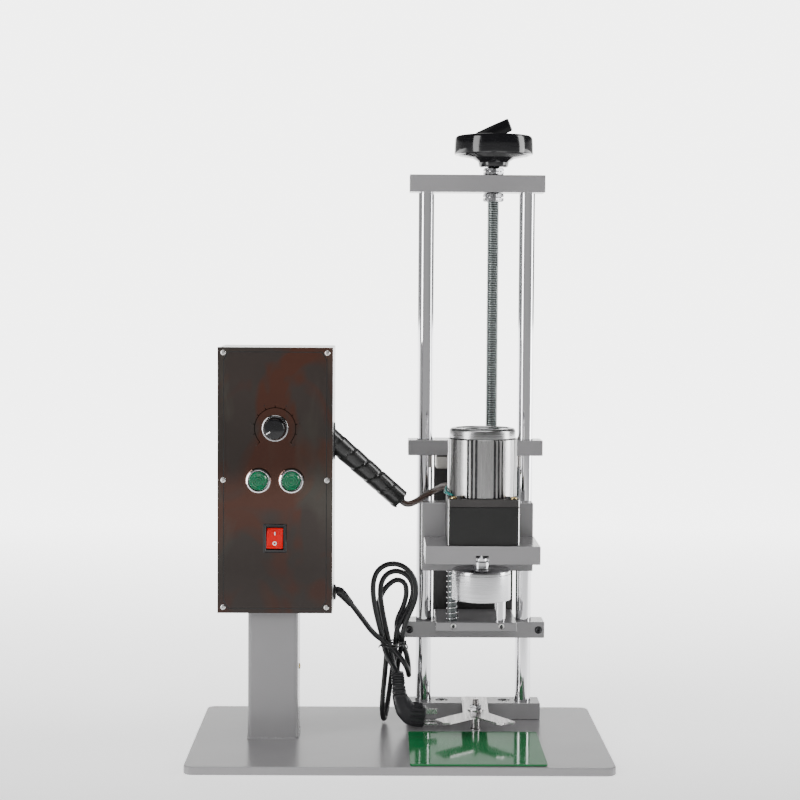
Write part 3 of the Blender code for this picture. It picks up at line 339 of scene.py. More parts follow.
# ---------------------------------------------------------------- mesh helpers
def turn(bm, rings, centre=(0, 0, 0), axis=UP, sides=64, closed=False, material=0):
    """Turn (radius, height) rings about an axis; a radius may be a function of the angle."""
    place = Matrix.Translation(centre) @ Vector(UP).rotation_difference(Vector(axis)).to_matrix().to_4x4()
    made = []
    for radius, height in rings:
        if radius == 0:
            made.append([bm.verts.new(place @ Vector((0, 0, height)))])
            continue
        ring = []
        for i in range(sides):
            a = math.tau * i / sides
            r = radius(a) if callable(radius) else radius
            ring.append(bm.verts.new(place @ Vector((r * math.cos(a), r * math.sin(a), height))))
        made.append(ring)
    pairs = list(zip(made, made[1:]))
    if closed:
        pairs.append((made[-1], made[0]))
    for lower, upper in pairs:
        for i in range(sides):
            j = (i + 1) % sides
            corners = [lower[i % len(lower)], lower[j % len(lower)], upper[j % len(upper)],
                       upper[i % len(upper)]]
            face = bm.faces.new(list(dict.fromkeys(corners)))
            face.material_index = material


def extrude(bm, outline, low, high, axis=UP, centre=(0, 0, 0), turn_by=0.0, material=0):
    """Extrude a closed outline from low to high along an axis."""
    place = Matrix.Translation(centre) @ Vector(UP).rotation_difference(Vector(axis)).to_matrix().to_4x4()
    place = place @ Matrix.Rotation(turn_by, 4, "Z")
    rings = [[bm.verts.new(place @ Vector((x, y, z))) for x, y in outline] for z in (low, high)]
    faces = [bm.faces.new(list(reversed(rings[0]))), bm.faces.new(rings[1])]
    for i in range(len(outline)):
        j = (i + 1) % len(outline)
        faces.append(bm.faces.new((rings[0][i], rings[0][j], rings[1][j], rings[1][i])))
    for face in faces:
        face.material_index = material


def block(bm, low, high, material=0):
    size = Vector(high) - Vector(low)
    centre = (Vector(high) + Vector(low)) / 2
    before = set(bm.faces)
    bmesh.ops.create_cube(bm, size=1, matrix=Matrix.Translation(centre) @ Matrix.Diagonal((*size, 1)))
    for face in set(bm.faces) - before:
        face.material_index = material


def catmull_rom(points, steps):
    """A fine curve through the points, in so many steps from each to the next."""
    knots = [Vector(p) for p in points]
    knots = [2 * knots[0] - knots[1], *knots, 2 * knots[-1] - knots[-2]]
    fine = []
    for a, b, c, d in zip(knots, knots[1:], knots[2:], knots[3:]):
        for i in range(steps):
            t = i / steps
            fine.append(0.5 * (2 * b + (c - a) * t + (2 * a - 5 * b + 4 * c - d) * t**2
                               + (3 * b - a - 3 * c + d) * t**3))
    fine.append(knots[-2])
    return fine


def smooth(points, spacing):
    """Points read about every `spacing` along a Catmull-Rom curve through the given ones."""
    fine = catmull_rom(points, 24)
    path = [fine[0]]
    for point in fine[1:]:
        if (point - path[-1]).length >= spacing:
            path.append(point)
    path[-1] = fine[-1]
    return path


def sweep(bm, path, radius, sides=12, material=0, capped=True):
    """A round tube along a path; the radius may be a function of how far along it is, from 0 to 1."""
    side = None
    rings = []
    for i, point in enumerate(path):
        ahead = (path[min(i + 1, len(path) - 1)] - path[max(i - 1, 0)]).normalized()
        if side is None:
            side = ahead.orthogonal().normalized()
        side = (side - ahead * side.dot(ahead)).normalized()
        across = ahead.cross(side)
        r = radius(i / (len(path) - 1)) if callable(radius) else radius
        spokes = (math.tau * k / sides for k in range(sides))
        rings.append([bm.verts.new(point + r * (math.cos(a) * side + math.sin(a) * across)) for a in spokes])
    faces = []
    for first, second in zip(rings, rings[1:]):
        for k in range(sides):
            j = (k + 1) % sides
            faces.append(bm.faces.new((first[k], first[j], second[j], second[k])))
    if capped:
        faces += [bm.faces.new(list(reversed(rings[0]))), bm.faces.new(rings[-1])]
    for face in faces:
        face.material_index = material


def hexagon(flats, phase=0.0):
    """The radius of a hexagon of that width across flats, as a function of the angle."""
    return lambda a: flats / 2 / math.cos((a - phase + math.pi / 6) % (math.pi / 3) - math.pi / 6)


def within(shape, limit):
    return lambda a: min(shape(a), limit)


def piece(name, bm, finishes, body, replaces=(), angle=35, bevel=0.0, segments=2):
    """Make the object: finishes by material index, riding on its body."""
    bmesh.ops.recalc_face_normals(bm, faces=bm.faces)
    mesh = bpy.data.meshes.new(name)
    bm.to_mesh(mesh)
    bm.free()
    mesh.shade_smooth()
    mesh.set_sharp_from_angle(angle=math.radians(angle))
    thing = bpy.data.objects.new(name, mesh)
    bpy.context.scene.collection.objects.link(thing)
    for finish_name in finishes:
        mesh.materials.append(MATERIALS[finish_name])
    if bevel:
        rounded = thing.modifiers.new("edges", "BEVEL")
        rounded.width = bevel
        rounded.segments = segments
        rounded.limit_method = "ANGLE"
        rounded.angle_limit = math.radians(40)
        rounded.harden_normals = True
    if body:
        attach(thing, body)
    if replaces:
        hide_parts(*replaces)
    return thing


def text_piece(name, words, size, centre, body, finish_name, depth=0.0002):
    """Upright print on a face that looks along -Y, made into a mesh."""
    curve = bpy.data.curves.new(name, "FONT")
    curve.body = words
    curve.size = size
    curve.extrude = depth
    curve.align_x = "CENTER"
    curve.align_y = "CENTER"
    drawn = bpy.data.objects.new(name, curve)
    bpy.context.scene.collection.objects.link(drawn)
    bpy.context.view_layer.update()
    mesh = bpy.data.meshes.new_from_object(drawn.evaluated_get(bpy.context.evaluated_depsgraph_get()))
    bpy.data.objects.remove(drawn)
    bm = bmesh.new()
    bm.from_mesh(mesh)
    bpy.data.meshes.remove(mesh)
    bm.transform(Matrix.Translation(centre) @ Matrix.Rotation(math.radians(90), 4, "X"))
    return piece(name, bm, [finish_name], body)


# ---------------------------------------------------------------- cords
CORD_D = 0.006
CORD_LEAD = [  # out of the box and down to the tie
    (-0.0702, 0.0200, 0.1655), (-0.0660, 0.0200, 0.1653), (-0.0535, 0.0250, 0.1505),
    (-0.0400, 0.0340, 0.1310), (-0.0330, 0.0386, 0.1208), (-0.0265, 0.0415, 0.1133),
    (-0.0183, 0.0434, 0.1067),
]
# the whole cord: the lead, then up and down through the tie for each of the hank's turns
CORD_GUIDES = [
    (-0.0702, 0.0200, 0.1655), (-0.0660, 0.0200, 0.1650), (-0.0535, 0.0250, 0.1505),
    (-0.0400, 0.0340, 0.1310), (-0.0330, 0.0385, 0.1210), (-0.0287, 0.0410, 0.1150),
    (-0.0200, 0.0435, 0.1080), (-0.0095, 0.0443, 0.1000), (-0.0030, 0.0425, 0.0935),
    (0.0030, 0.0395, 0.0860), (0.0080, 0.0370, 0.0795), (0.0108, 0.0380, 0.0725), (0.0113, 0.0440, 0.0673),
    (0.0113, 0.0530, 0.0653), (0.0114, 0.0620, 0.0673), (0.0113, 0.0680, 0.0735), (0.0102, 0.0696, 0.0820),
    (0.0068, 0.0690, 0.0915), (0.0025, 0.0650, 0.1010), (-0.0015, 0.0655, 0.1130),
    (-0.0029, 0.0660, 0.1247), (0.0034, 0.0660, 0.1374), (0.0073, 0.0660, 0.1500), (0.0085, 0.0660, 0.1613),
    (0.0069, 0.0660, 0.1690), (0.0016, 0.0660, 0.1736), (-0.0064, 0.0657, 0.1714),
    (-0.0134, 0.0654, 0.1652), (-0.0187, 0.0650, 0.1585), (-0.0228, 0.0645, 0.1472),
    (-0.0238, 0.0635, 0.1360), (-0.0213, 0.0615, 0.1205), (-0.0169, 0.0590, 0.1080),
    (-0.0140, 0.0570, 0.1010), (-0.0140, 0.0572, 0.0900), (-0.0150, 0.0555, 0.0750),
    (-0.0168, 0.0505, 0.0550), (-0.0183, 0.0465, 0.0380), (-0.0185, 0.0460, 0.0280),
    (-0.0177, 0.0500, 0.0180), (-0.0162, 0.0620, 0.0124), (-0.0143, 0.0740, 0.0170),
    (-0.0122, 0.0795, 0.0280), (-0.0103, 0.0795, 0.0420), (-0.0083, 0.0760, 0.0580),
    (-0.0063, 0.0700, 0.0750), (-0.0042, 0.0630, 0.0900), (-0.0032, 0.0595, 0.1010),
    (-0.0032, 0.0600, 0.1135), (0.0034, 0.0602, 0.1275), (0.0110, 0.0603, 0.1416), (0.0152, 0.0604, 0.1542),
    (0.0162, 0.0602, 0.1640), (0.0131, 0.0600, 0.1739), (0.0048, 0.0595, 0.1816), (-0.0050, 0.0590, 0.1838),
    (-0.0134, 0.0587, 0.1809), (-0.0189, 0.0584, 0.1739), (-0.0213, 0.0580, 0.1640),
    (-0.0210, 0.0570, 0.1514), (-0.0187, 0.0555, 0.1374), (-0.0155, 0.0535, 0.1219),
    (-0.0127, 0.0517, 0.1088), (-0.0106, 0.0510, 0.1010), (-0.0085, 0.0513, 0.0900),
    (-0.0060, 0.0510, 0.0780), (-0.0040, 0.0493, 0.0660), (-0.0034, 0.0497, 0.0570),
    (-0.0030, 0.0540, 0.0480), (-0.0025, 0.0645, 0.0435), (-0.0020, 0.0750, 0.0480),
    (-0.0016, 0.0796, 0.0570), (-0.0013, 0.0800, 0.0660), (-0.0003, 0.0765, 0.0770),
    (0.0015, 0.0690, 0.0880), (0.0034, 0.0580, 0.1010), (0.0046, 0.0570, 0.1130), (0.0085, 0.0560, 0.1285),
    (0.0148, 0.0550, 0.1420), (0.0186, 0.0543, 0.1542), (0.0190, 0.0537, 0.1655), (0.0164, 0.0532, 0.1767),
    (0.0089, 0.0527, 0.1868), (-0.0008, 0.0523, 0.1923), (-0.0120, 0.0520, 0.1925),
    (-0.0215, 0.0517, 0.1883), (-0.0275, 0.0514, 0.1793), (-0.0297, 0.0512, 0.1683),
    (-0.0291, 0.0510, 0.1542), (-0.0264, 0.0508, 0.1388), (-0.0223, 0.0506, 0.1219),
    (-0.0184, 0.0505, 0.1080), (-0.0170, 0.0503, 0.1000), (-0.0153, 0.0480, 0.0925),
    (-0.0113, 0.0447, 0.0850), (-0.0065, 0.0410, 0.0775), (-0.0030, 0.0383, 0.0715),
    (-0.0016, 0.0370, 0.0665),
]
STRAND_GAP = 0.0065  # middle to middle of two strands that touch, with a little air
CORD_STEP = 0.003
ROUTE_STEP = 0.0105
LEAD_STEPS = 9  # the part of the settled route that CORD_LEAD takes the place of
LOWEST_STRAND = 0.01225
BOOT = (-0.0010, 0.0365)  # the plug's upright boot: its middle, and how far round it a strand's middle stays
BOOT_REACH = (0.0126, 0.0098)
BOOT_HEIGHTS = (0.020, 0.073)
CAGE_CLEAR_Y = 0.0698  # in front of the lift cage
TIE_Z = 0.101
LOOM_ROUTE = [
    (-0.0830, 0.0020, 0.3446), (-0.0736, 0.0060, 0.3360), (-0.0500, 0.0150, 0.3143),
    (-0.0250, 0.0245, 0.2914),
    (0.0005, 0.0335, 0.2680),
]
LOOM_R = 0.0115
BUNDLE_R = 0.0040
LEADS_ROUTE = [
    (0.0008, 0.0337, 0.2677), (0.0050, 0.0355, 0.2643), (0.0110, 0.0400, 0.2630), (0.0190, 0.0450, 0.2655),
    (0.0280, 0.0460, 0.2710), (0.0390, 0.0380, 0.2775), (0.0480, 0.0180, 0.2850), (0.0540, 0.0050, 0.2875),
    (0.0578, -0.0010, 0.2885),
]


def read_evenly(points, step):
    """The points along a line at equal steps."""
    gone = np.r_[0, np.cumsum(np.linalg.norm(np.diff(points, axis=0), axis=1))]
    stops = np.linspace(0, gone[-1], round(gone[-1] / step) + 1)
    return np.array([np.interp(stops, gone, points[:, k]) for k in range(3)]).T


def settle(guides, rounds=3000):
    """The cord in even bends near its guides, its strands clear of each other, the plug and the cage."""
    hold, spread = np.array((0.02, 0.004, 0.02)), np.array((0.6, 1.0, 0.3))
    stiffness, tension, push, boot_push = 0.35, 0.02, 0.25, 0.3
    cord = guides.copy()
    order = np.arange(len(cord))
    apart = np.abs(order[:, None] - order[None, :]) > 5
    loose = slice(0, len(cord) - 14)  # the last stretch runs inside the boot
    for _ in range(rounds):
        move = hold * (guides - cord)
        bend, change = np.zeros_like(cord), np.zeros_like(cord)
        bend[1:-1] = (cord[:-2] + cord[2:]) / 2 - cord[1:-1]
        change[1:-1] = bend[1:-1] - (bend[:-2] + bend[2:]) / 2
        move += stiffness * change + tension * bend
        squares = (cord * cord).sum(1)
        first, second = np.nonzero((squares[:, None] + squares - 2 * cord @ cord.T < STRAND_GAP**2) & apart)
        between = cord[first] - cord[second]
        distance = np.maximum(np.linalg.norm(between, axis=1), 1e-9)[:, None]
        np.add.at(move, first, push * (STRAND_GAP - distance) * between / distance * spread)
        x, y, z = cord[loose].T
        across, deep = (x - BOOT[0]) / BOOT_REACH[0], (y - BOOT[1]) / BOOT_REACH[1]
        out = np.maximum(np.hypot(across, deep), 1e-9)
        inside = (z > BOOT_HEIGHTS[0]) & (z < BOOT_HEIGHTS[1]) & (out < 1)
        shove = np.where(inside, boot_push * (1 - out) / out, 0)
        move[loose, 0] += shove * across * BOOT_REACH[0]
        move[loose, 1] += shove * deep * BOOT_REACH[1]
        move[:10] = 0
        move[-2:] = 0
        cord = cord + move
        cord[:, 2] = np.maximum(cord[:, 2], LOWEST_STRAND)
        behind = (cord[:, 0] > 0.0018) & (cord[:, 2] > 0.044)
        cord[behind, 1] = np.minimum(cord[behind, 1], CAGE_CLEAR_Y)
    return cord


def cord_route():
    """The lead as it is given, then the settled hank, to a tenth of a millimetre."""
    guides = read_evenly(np.array([tuple(p) for p in catmull_rom(CORD_GUIDES, 40)]), CORD_STEP)
    hank = read_evenly(settle(guides), ROUTE_STEP)[LEAD_STEPS:]
    return [*CORD_LEAD, *(tuple(round(float(v), 4) for v in point) for point in hank)]


def mains_cord():
    """The lead out of the box, seven strands through the tie, and into the plug's boot."""
    path = smooth(cord_route(), 0.004)
    bm = bmesh.new()
    sweep(bm, path, CORD_D / 2, sides=16)
    cord = piece("power_cord", bm, ["black_rubber"], "frame",
                 replaces=("power_cord_lead", "power_cord_hank"))
    parts = [cord_tie(), strain_relief(), *plug()]


def cord_tie():
    """A flat tie pulled round the seven strands, its twisted tail to the right."""
    bm = bmesh.new()
    loop = [(-0.0212, 0.0500), (-0.0195, 0.0455), (-0.0125, 0.0398), (-0.0060, 0.0400), (0.0010, 0.0470),
            (0.0070, 0.0520), (0.0078, 0.0600), (0.0060, 0.0680), (-0.0010, 0.0695), (-0.0080, 0.0650),
            (-0.0150, 0.0620), (-0.0195, 0.0580)]
    for low, high in ((-0.0028, -0.0004), (0.0002, 0.0024)):
        rings = []
        for offset, z in ((0.0, low), (0.0009, low), (0.0009, high), (0.0, high)):
            ring = []
            count = len(loop)
            for i in range(count):
                here, ahead, behind = Vector(loop[i]), Vector(loop[(i + 1) % count]), Vector(loop[i - 1])
                along = (ahead - behind).normalized()
                outward = Vector((along.y, -along.x))
                spot = here + outward * offset
                ring.append(bm.verts.new((spot.x, spot.y, TIE_Z + z + 0.0012 * math.sin(i * 1.7))))
            rings.append(ring)
        for first, second in zip(rings, [*rings[1:], rings[0]]):
            for i in range(count):
                j = (i + 1) % count
                bm.faces.new((first[i], first[j], second[j], second[i]))
    for tail in (
        [(0.0068, 0.0500, 0.1022), (0.0086, 0.0480, 0.1010), (0.0098, 0.0468, 0.0985),
         (0.0094, 0.0460, 0.0962)],
        [(0.0068, 0.0505, 0.1000), (0.0080, 0.0490, 0.1030), (0.0078, 0.0478, 0.1060)],
        [(-0.0205, 0.0475, 0.1008), (-0.0222, 0.0462, 0.0996), (-0.0228, 0.0455, 0.0976)],
    ):
        sweep(bm, smooth([Vector(p) for p in tail], 0.001), 0.0008, sides=8)
    tie = piece("cord_tie", bm, ["black_matt"], "frame")
    tie.modifiers.new("soft", "SUBSURF").levels = 1
    tie.modifiers["soft"].render_levels = 2
    return tie


def strain_relief():
    """The gland on the box: a flange and a tapered, ribbed sleeve along the cord's first stretch."""
    bm = bmesh.new()
    flange = [(0, -0.0060), (0.0060, -0.0060), (0.0060, 0.0002), (0.0086, 0.0002), (0.0088, 0.0010),
              (0.0082, 0.0022),
              (0.0068, 0.0028), (0, 0.0028)]
    turn(bm, flange, GLAND, RIGHT, 36)
    path = smooth(CORD_LEAD[:3], 0.0008)
    path = [p for p in path if (p - path[0]).length < 0.0225]

    def taper(t):
        rib = 0.0005 if int(t * 16) % 2 else 0.0
        return 0.0054 * (1 - t) + 0.0036 * t + rib * (1 - 0.5 * t)

    sweep(bm, path, taper, sides=24)
    return piece("power_strain_relief", bm, ["black_rubber"], "frame",
                 replaces=("power_gland",),
                 angle=50)


def plug():
    """An angled plug: ribbed boot at the top, a gripped body that leans to the right, three flat pins."""
    stations = [  # centre x, y, z, half width, half depth, lean of the section
        (-0.0015, 0.0365, 0.0722, 0.0070, 0.0055, 0.0), (-0.0013, 0.0365, 0.0700, 0.0080, 0.0062, 0.0),
        (-0.0004, 0.0350, 0.0600, 0.0084, 0.0070, 0.04), (0.0006, 0.0325, 0.0480, 0.0088, 0.0080, 0.10),
        (0.0030, 0.0310, 0.0400, 0.0100, 0.0098, 0.30), (0.0070, 0.0305, 0.0320, 0.0118, 0.0118, 0.65),
        (0.0125, 0.0305, 0.0262, 0.0125, 0.0128, 1.05), (0.0180, 0.0305, 0.0240, 0.0126, 0.0132, 1.32),
        (0.0240, 0.0305, 0.0232, 0.0128, 0.0132, 1.38), (0.0285, 0.0305, 0.0226, 0.0122, 0.0126, 1.38),
        (0.0296, 0.0305, 0.0225, 0.0108, 0.0112, 1.38),
    ]
    bm = bmesh.new()
    sides = 32
    rings = []
    fine = []
    steps = 7
    for first, second in zip(stations, stations[1:]):
        fine += [[a + (b - a) * k / steps for a, b in zip(first, second)] for k in range(steps)]
    fine.append(list(stations[-1]))
    for x, y, z, half_x, half_y, lean in fine:
        grip = 0.0013 * (1 if int((0.0722 - z) / 0.0014) % 2 else 0) if z > 0.0450 else 0.0
        ring = []
        for k in range(sides):
            a = math.tau * k / sides
            squarer = 1 + 0.10 * math.cos(4 * a + math.pi)
            across = (half_x - grip) * math.cos(a) * squarer
            spot = Vector((x + across * math.cos(lean), y + (half_y - grip) * math.sin(a) * squarer,
                           z + across * math.sin(lean)))
            spot.z = max(spot.z, 0.0096)
            ring.append(bm.verts.new(spot))
        rings.append(ring)
    for first, second in zip(rings, rings[1:]):
        for k in range(sides):
            j = (k + 1) % sides
            bm.faces.new((first[k], first[j], second[j], second[k]))
    bm.faces.new(list(reversed(rings[0])))
    bm.faces.new(rings[-1])
    body = piece("plug_body", bm, ["plug_rubber"], "frame", replaces=("mains_plug",),
                 angle=50)

    bm = bmesh.new()
    for k in range(5):
        y = 0.0215 + k * 0.0045
        path = [Vector((0.0150, y, 0.0366)), Vector((0.0210, y, 0.0362)), Vector((0.0270, y, 0.0348))]
        sweep(bm, smooth(path, 0.001), 0.0008, sides=8)
    for z in (0.0325, 0.0255, 0.0190):
        path = [Vector((0.0130, 0.0176, z)), Vector((0.0200, 0.0170, z - 0.0006)),
                Vector((0.0280, 0.0178, z - 0.0012))]
        sweep(bm, smooth(path, 0.001), 0.0009, sides=8)
    grips = piece("plug_grips", bm, ["plug_rubber"], "frame")

    bm = bmesh.new()
    level = 0.0305
    for y, z, half_y, half_z in ((level, 0.0285, 0.0009, 0.0031), (level - 0.007, 0.0160, 0.0030, 0.0009),
                                 (level + 0.007, 0.0160, 0.0030, 0.0009)):
        block(bm, (0.0285, y - half_y, z - half_z), (0.0436, y + half_y, z + half_z))
    pins = piece("plug_pins", bm, ["bare_metal_and_highlight"], "frame", bevel=0.0005, segments=3)
    return [body, grips, pins]


def motor_wiring():
    """The bundle inside the spiral wrap, and the loose wires from its end to the motor."""
    bundle_path = smooth([Vector(p) for p in LOOM_ROUTE], 0.004)
    bm = bmesh.new()
    sweep(bm, bundle_path, BUNDLE_R, sides=16)
    bundle = piece("wire_bundle", bm, ["wire_grey"], None)
    wrap = spiral_wrap()
    # level, so a lift shears the loom and keeps it round
    for thing in (bundle, wrap):
        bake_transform(thing)
    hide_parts("wire_loom")

    lead_path = smooth([Vector(p) for p in LEADS_ROUTE], 0.003)
    bm = bmesh.new()
    strands = ((0, 0.0, 0.0022, 0), (1, math.tau / 3, 0.0020, 1), (2, 2 * math.tau / 3, 0.0019, 0))
    for _, phase, size, finish_index in strands:
        wound = []
        for i, point in enumerate(lead_path):
            a = phase + i * 0.10
            wound.append(point + 0.0021 * Vector((0.3 * math.cos(a), math.cos(a), math.sin(a))))
        sweep(bm, wound, size, sides=10, material=finish_index)
    leads = piece("motor_wires", bm, ["wire_grey", "wire_brown"], None)
    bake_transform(leads)
    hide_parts("motor_leads")


def spiral_wrap():
    """A flat band wound round the bundle, each turn lapping the last, its end ragged."""
    path = smooth([Vector(p) for p in LOOM_ROUTE], 0.0012)
    pitch = 0.0205
    travelled = 0.0
    rings = []
    sides = 28
    side = None
    bm = bmesh.new()
    for i, point in enumerate(path):
        if i:
            travelled += (point - path[i - 1]).length
        ahead = (path[min(i + 1, len(path) - 1)] - path[max(i - 1, 0)]).normalized()
        if side is None:
            side = ahead.orthogonal().normalized()
        side = (side - ahead * side.dot(ahead)).normalized()
        across = ahead.cross(side)
        ring = []
        for k in range(sides):
            a = math.tau * k / sides
            turn_share = (travelled / pitch + k / sides) % 1.0
            step = 0.0006 * min(1.0, turn_share * 9) - 0.0005 * turn_share
            groove = -0.0013 if turn_share > 0.955 else 0.0
            r = LOOM_R - 0.0005 + step + groove + 0.00010 * math.sin(3 * a + travelled * 260)
            ring.append(bm.verts.new(point + r * (math.cos(a) * side + math.sin(a) * across)))
        rings.append(ring)
    last_ahead = (path[-1] - path[-2]).normalized()
    for k, vertex in enumerate(rings[-1]):
        vertex.co += last_ahead * (0.0016 * math.sin(k * 2.3) + 0.0012 * math.sin(k * 5.1) - 0.0014)
    inner = []
    for ring, back in ((rings[-1], 0.0004), (rings[-1], 0.016)):
        centre = path[-1] - last_ahead * back
        inner.append([bm.verts.new(centre + (v.co - path[-1]) * 0.84 - last_ahead * 0.001) for v in ring])
    every = [*rings, *inner]
    for first, second in zip(every, every[1:]):
        for k in range(sides):
            j = (k + 1) % sides
            bm.faces.new((first[k], first[j], second[j], second[k]))
    bm.faces.new(list(reversed(rings[0])))
    bm.faces.new(inner[-1])
    return piece("spiral_wrap", bm, ["wrap_plastic"], None, angle=50)


def earth_wire():
    """The green earth wire that leaves the bundle at the motor's lower left."""
    bm = bmesh.new()
    route = [(0.0545, -0.0050, 0.2868), (0.0505, -0.0190, 0.2886), (0.0488, -0.0330, 0.2868),
             (0.0505, -0.0440, 0.2846),
             (0.0560, -0.0505, 0.2824)]
    sweep(bm, smooth([Vector(p) for p in route], 0.0015), 0.0011, sides=12)
    route = [(0.0552, -0.0010, 0.2862), (0.0500, -0.0190, 0.2852), (0.0478, -0.0330, 0.2836),
             (0.0530, -0.0470, 0.2822)]
    sweep(bm, smooth([Vector(p) for p in route], 0.0015), 0.0009, sides=12)
    piece("earth_wire", bm, ["wire_teal"], "head_unit")


# ---------------------------------------------------------------- rods, screw and nuts
def rod(name, axis_point, radius, low, high, node, body, finish_name="chrome"):
    bm = bmesh.new()
    chamfer = 0.0010
    turn(bm, [(0, low), (radius - chamfer, low), (radius, low + chamfer), (radius, high - chamfer),
              (radius - chamfer, high), (0, high)], (axis_point.x, axis_point.y, 0), sides=96)
    return piece(name, bm, [finish_name], body, replaces=(node,), bevel=0.0003)


def rods():
    for side, axis in (("left", ROD_LEFT), ("right", ROD_RIGHT)):
        low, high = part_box(f"guide_rod_{side}")
        rod(f"rod_{side}", axis, (high.x - low.x) / 2, low.z, high.z, f"guide_rod_{side}", "frame")
    for name, axis in (("spring_post", SPRING_AXIS), ("plain_post", PLAIN_AXIS)):
        low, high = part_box(name)
        # painted shade: the spring's post is the same chrome rod, given a dark finish for the shade its coils
        # cast
        rod(f"{name}_rod", axis, (high.x - low.x) / 2, low.z, high.z, name, "lift_cage",
            "painted_shade_steel" if name == "spring_post" else "chrome")
    low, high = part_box("output_shaft")
    rod("spindle_shaft", SPINDLE, (high.x - low.x) / 2, low.z, high.z, "output_shaft", "spindle")


def threaded_rod():
    """The lead screw with its 14 by 2 mm thread cut as a real helix, its grooves in painted shade."""
    low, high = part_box("lead_screw")
    crest = (high.x - low.x) / 2
    pitch, depth = 0.002, 0.00115
    sides, per_turn = 40, 8
    count = int((high.z - low.z - 0.003) / pitch * per_turn)
    bm = bmesh.new()
    rings = []
    for i in range(count + 1):
        z = low.z + 0.0015 + i * pitch / per_turn
        ring = []
        for k in range(sides):
            phase = (i / per_turn - k / sides) % 1.0
            groove = max(0.0, 1 - abs(phase - 0.5) / 0.40)
            edge = min(1.0, i / 6, (count - i) / 6)
            r = crest - depth * max(groove, 1 - edge)
            a = math.tau * k / sides
            ring.append(bm.verts.new((SCREW.x + r * math.cos(a), SCREW.y + r * math.sin(a), z)))
        rings.append(ring)
    for first, second in zip(rings, rings[1:]):
        for k in range(sides):
            j = (k + 1) % sides
            face = bm.faces.new((first[k], first[j], second[j], second[k]))
            inner = min(math.hypot(v.co.x - SCREW.x, v.co.y - SCREW.y) for v in face.verts)
            # painted shade: the faces down in the thread's grooves take the dark steel
            face.material_index = 1 if inner < crest - depth * 0.30 else 0
    for ring, z in ((rings[0], low.z), (rings[-1], high.z)):
        tip = [bm.verts.new((SCREW.x + (v.co.x - SCREW.x) * 0.86, SCREW.y + (v.co.y - SCREW.y) * 0.86,
                             z)) for v in ring]
        for k in range(sides):
            j = (k + 1) % sides
            bm.faces.new((ring[k], ring[j], tip[j], tip[k]))
        bm.faces.new(tip)
    piece("threaded_rod", bm, ["zinc_steel", "painted_shade_steel"], "handwheel",
          replaces=("lead_screw",), angle=60)


def hex_nut(name, node, centre, flats, body, finish_name, bore, phase=math.radians(10)):
    low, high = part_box(node)
    shape = hexagon(flats, phase)
    corner = flats / 2 / math.cos(math.pi / 6)
    chamfer = flats * 0.06
    half, slit = (low.z + high.z) / 2, flats * 0.03
    rings = [
        (bore, low.z + 0.0004), (bore + 0.0006, low.z), (within(shape, flats * 0.485), low.z),
        (within(shape, corner - chamfer), low.z + chamfer * 0.35), (shape, low.z + chamfer),
        (shape, half - slit), (within(shape, flats * 0.44), half - slit * 0.8),
        (within(shape, flats * 0.44), half + slit * 0.8), (shape, half + slit), (shape, high.z - chamfer),
        (within(shape, corner - chamfer), high.z - chamfer * 0.35),
        (within(shape, flats * 0.485), high.z), (bore + 0.0006, high.z), (bore, high.z - 0.0004),
    ]
    bm = bmesh.new()
    turn(bm, rings, (centre.x, centre.y, 0), sides=96, closed=True)
    return piece(name, bm, [finish_name], body, replaces=(node,), angle=28)


def nuts():
    for place in ("upper", "lower"):
        hex_nut(f"{place}_hex_nut", f"{place}_lock_nut", SCREW, 0.0214, "handwheel", "nut_steel", 0.0070)
    hex_nut("locator_hex_nut", "locator_nut", STUD, 0.0126, "frame", "nut_steel", 0.0041, 0.0)
    low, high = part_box("locator_stud")
    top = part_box("locator_plate")[0].z
    bm = bmesh.new()
    rings = [(0, low.z), (0.0060, low.z), (0.0060, low.z + 0.0006), (0.0048, low.z + 0.0014),
             (0.0048, top - 0.0003),
             (0.0038, top - 0.0003), (0.0038, top + 0.0080)]
    z = top + 0.0080
    while z < high.z - 0.0012:
        rings += [(0.0034, z + 0.0003), (0.0038, z + 0.0006)]
        z += 0.0007
    rings += [(0.0034, high.z - 0.0003), (0.0028, high.z), (0, high.z)]
    turn(bm, rings, (STUD.x, STUD.y, 0), sides=40)
    piece("locator_post", bm, ["stainless"], "frame", replaces=("locator_stud",), angle=50)
    low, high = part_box("locator_nut")
    bm = bmesh.new()
    turn(bm, [(0.0042, low.z - 0.00025), (0.0088, low.z - 0.00025), (0.0090, low.z), (0.0090, low.z + 0.0007),
              (0.0042, low.z + 0.0007)], (STUD.x, STUD.y, 0), sides=48, closed=True)
    piece("locator_washer", bm, ["bare_metal_and_highlight"], "frame")


def socket_head(name, centre, axis, radius, body, length=0.002, recess=0.0026, socket=None, replaces=(),
                finish_name="dark_steel"):
    """A socket screw's head seen from outside: rounded rim, hexagon socket; axis points out of the face."""
    flats = socket or radius * 0.95
    shape = hexagon(flats)
    rings = [
        (0, -recess), (shape, -recess), (shape, -0.0002), (lambda a: shape(a) + 0.0003, 0.0),
        (radius * 0.88, 0.0), (radius * 0.97, -radius * 0.05), (radius, -radius * 0.14), (radius, -length),
        (0, -length),
    ]
    if recess >= length:
        rings[-2:] = [(radius, -recess - 0.0004), (0, -recess - 0.0004)]
    bm = bmesh.new()
    turn(bm, rings, centre, axis, 72)
    return piece(name, bm, [finish_name], body, replaces=replaces, angle=40)


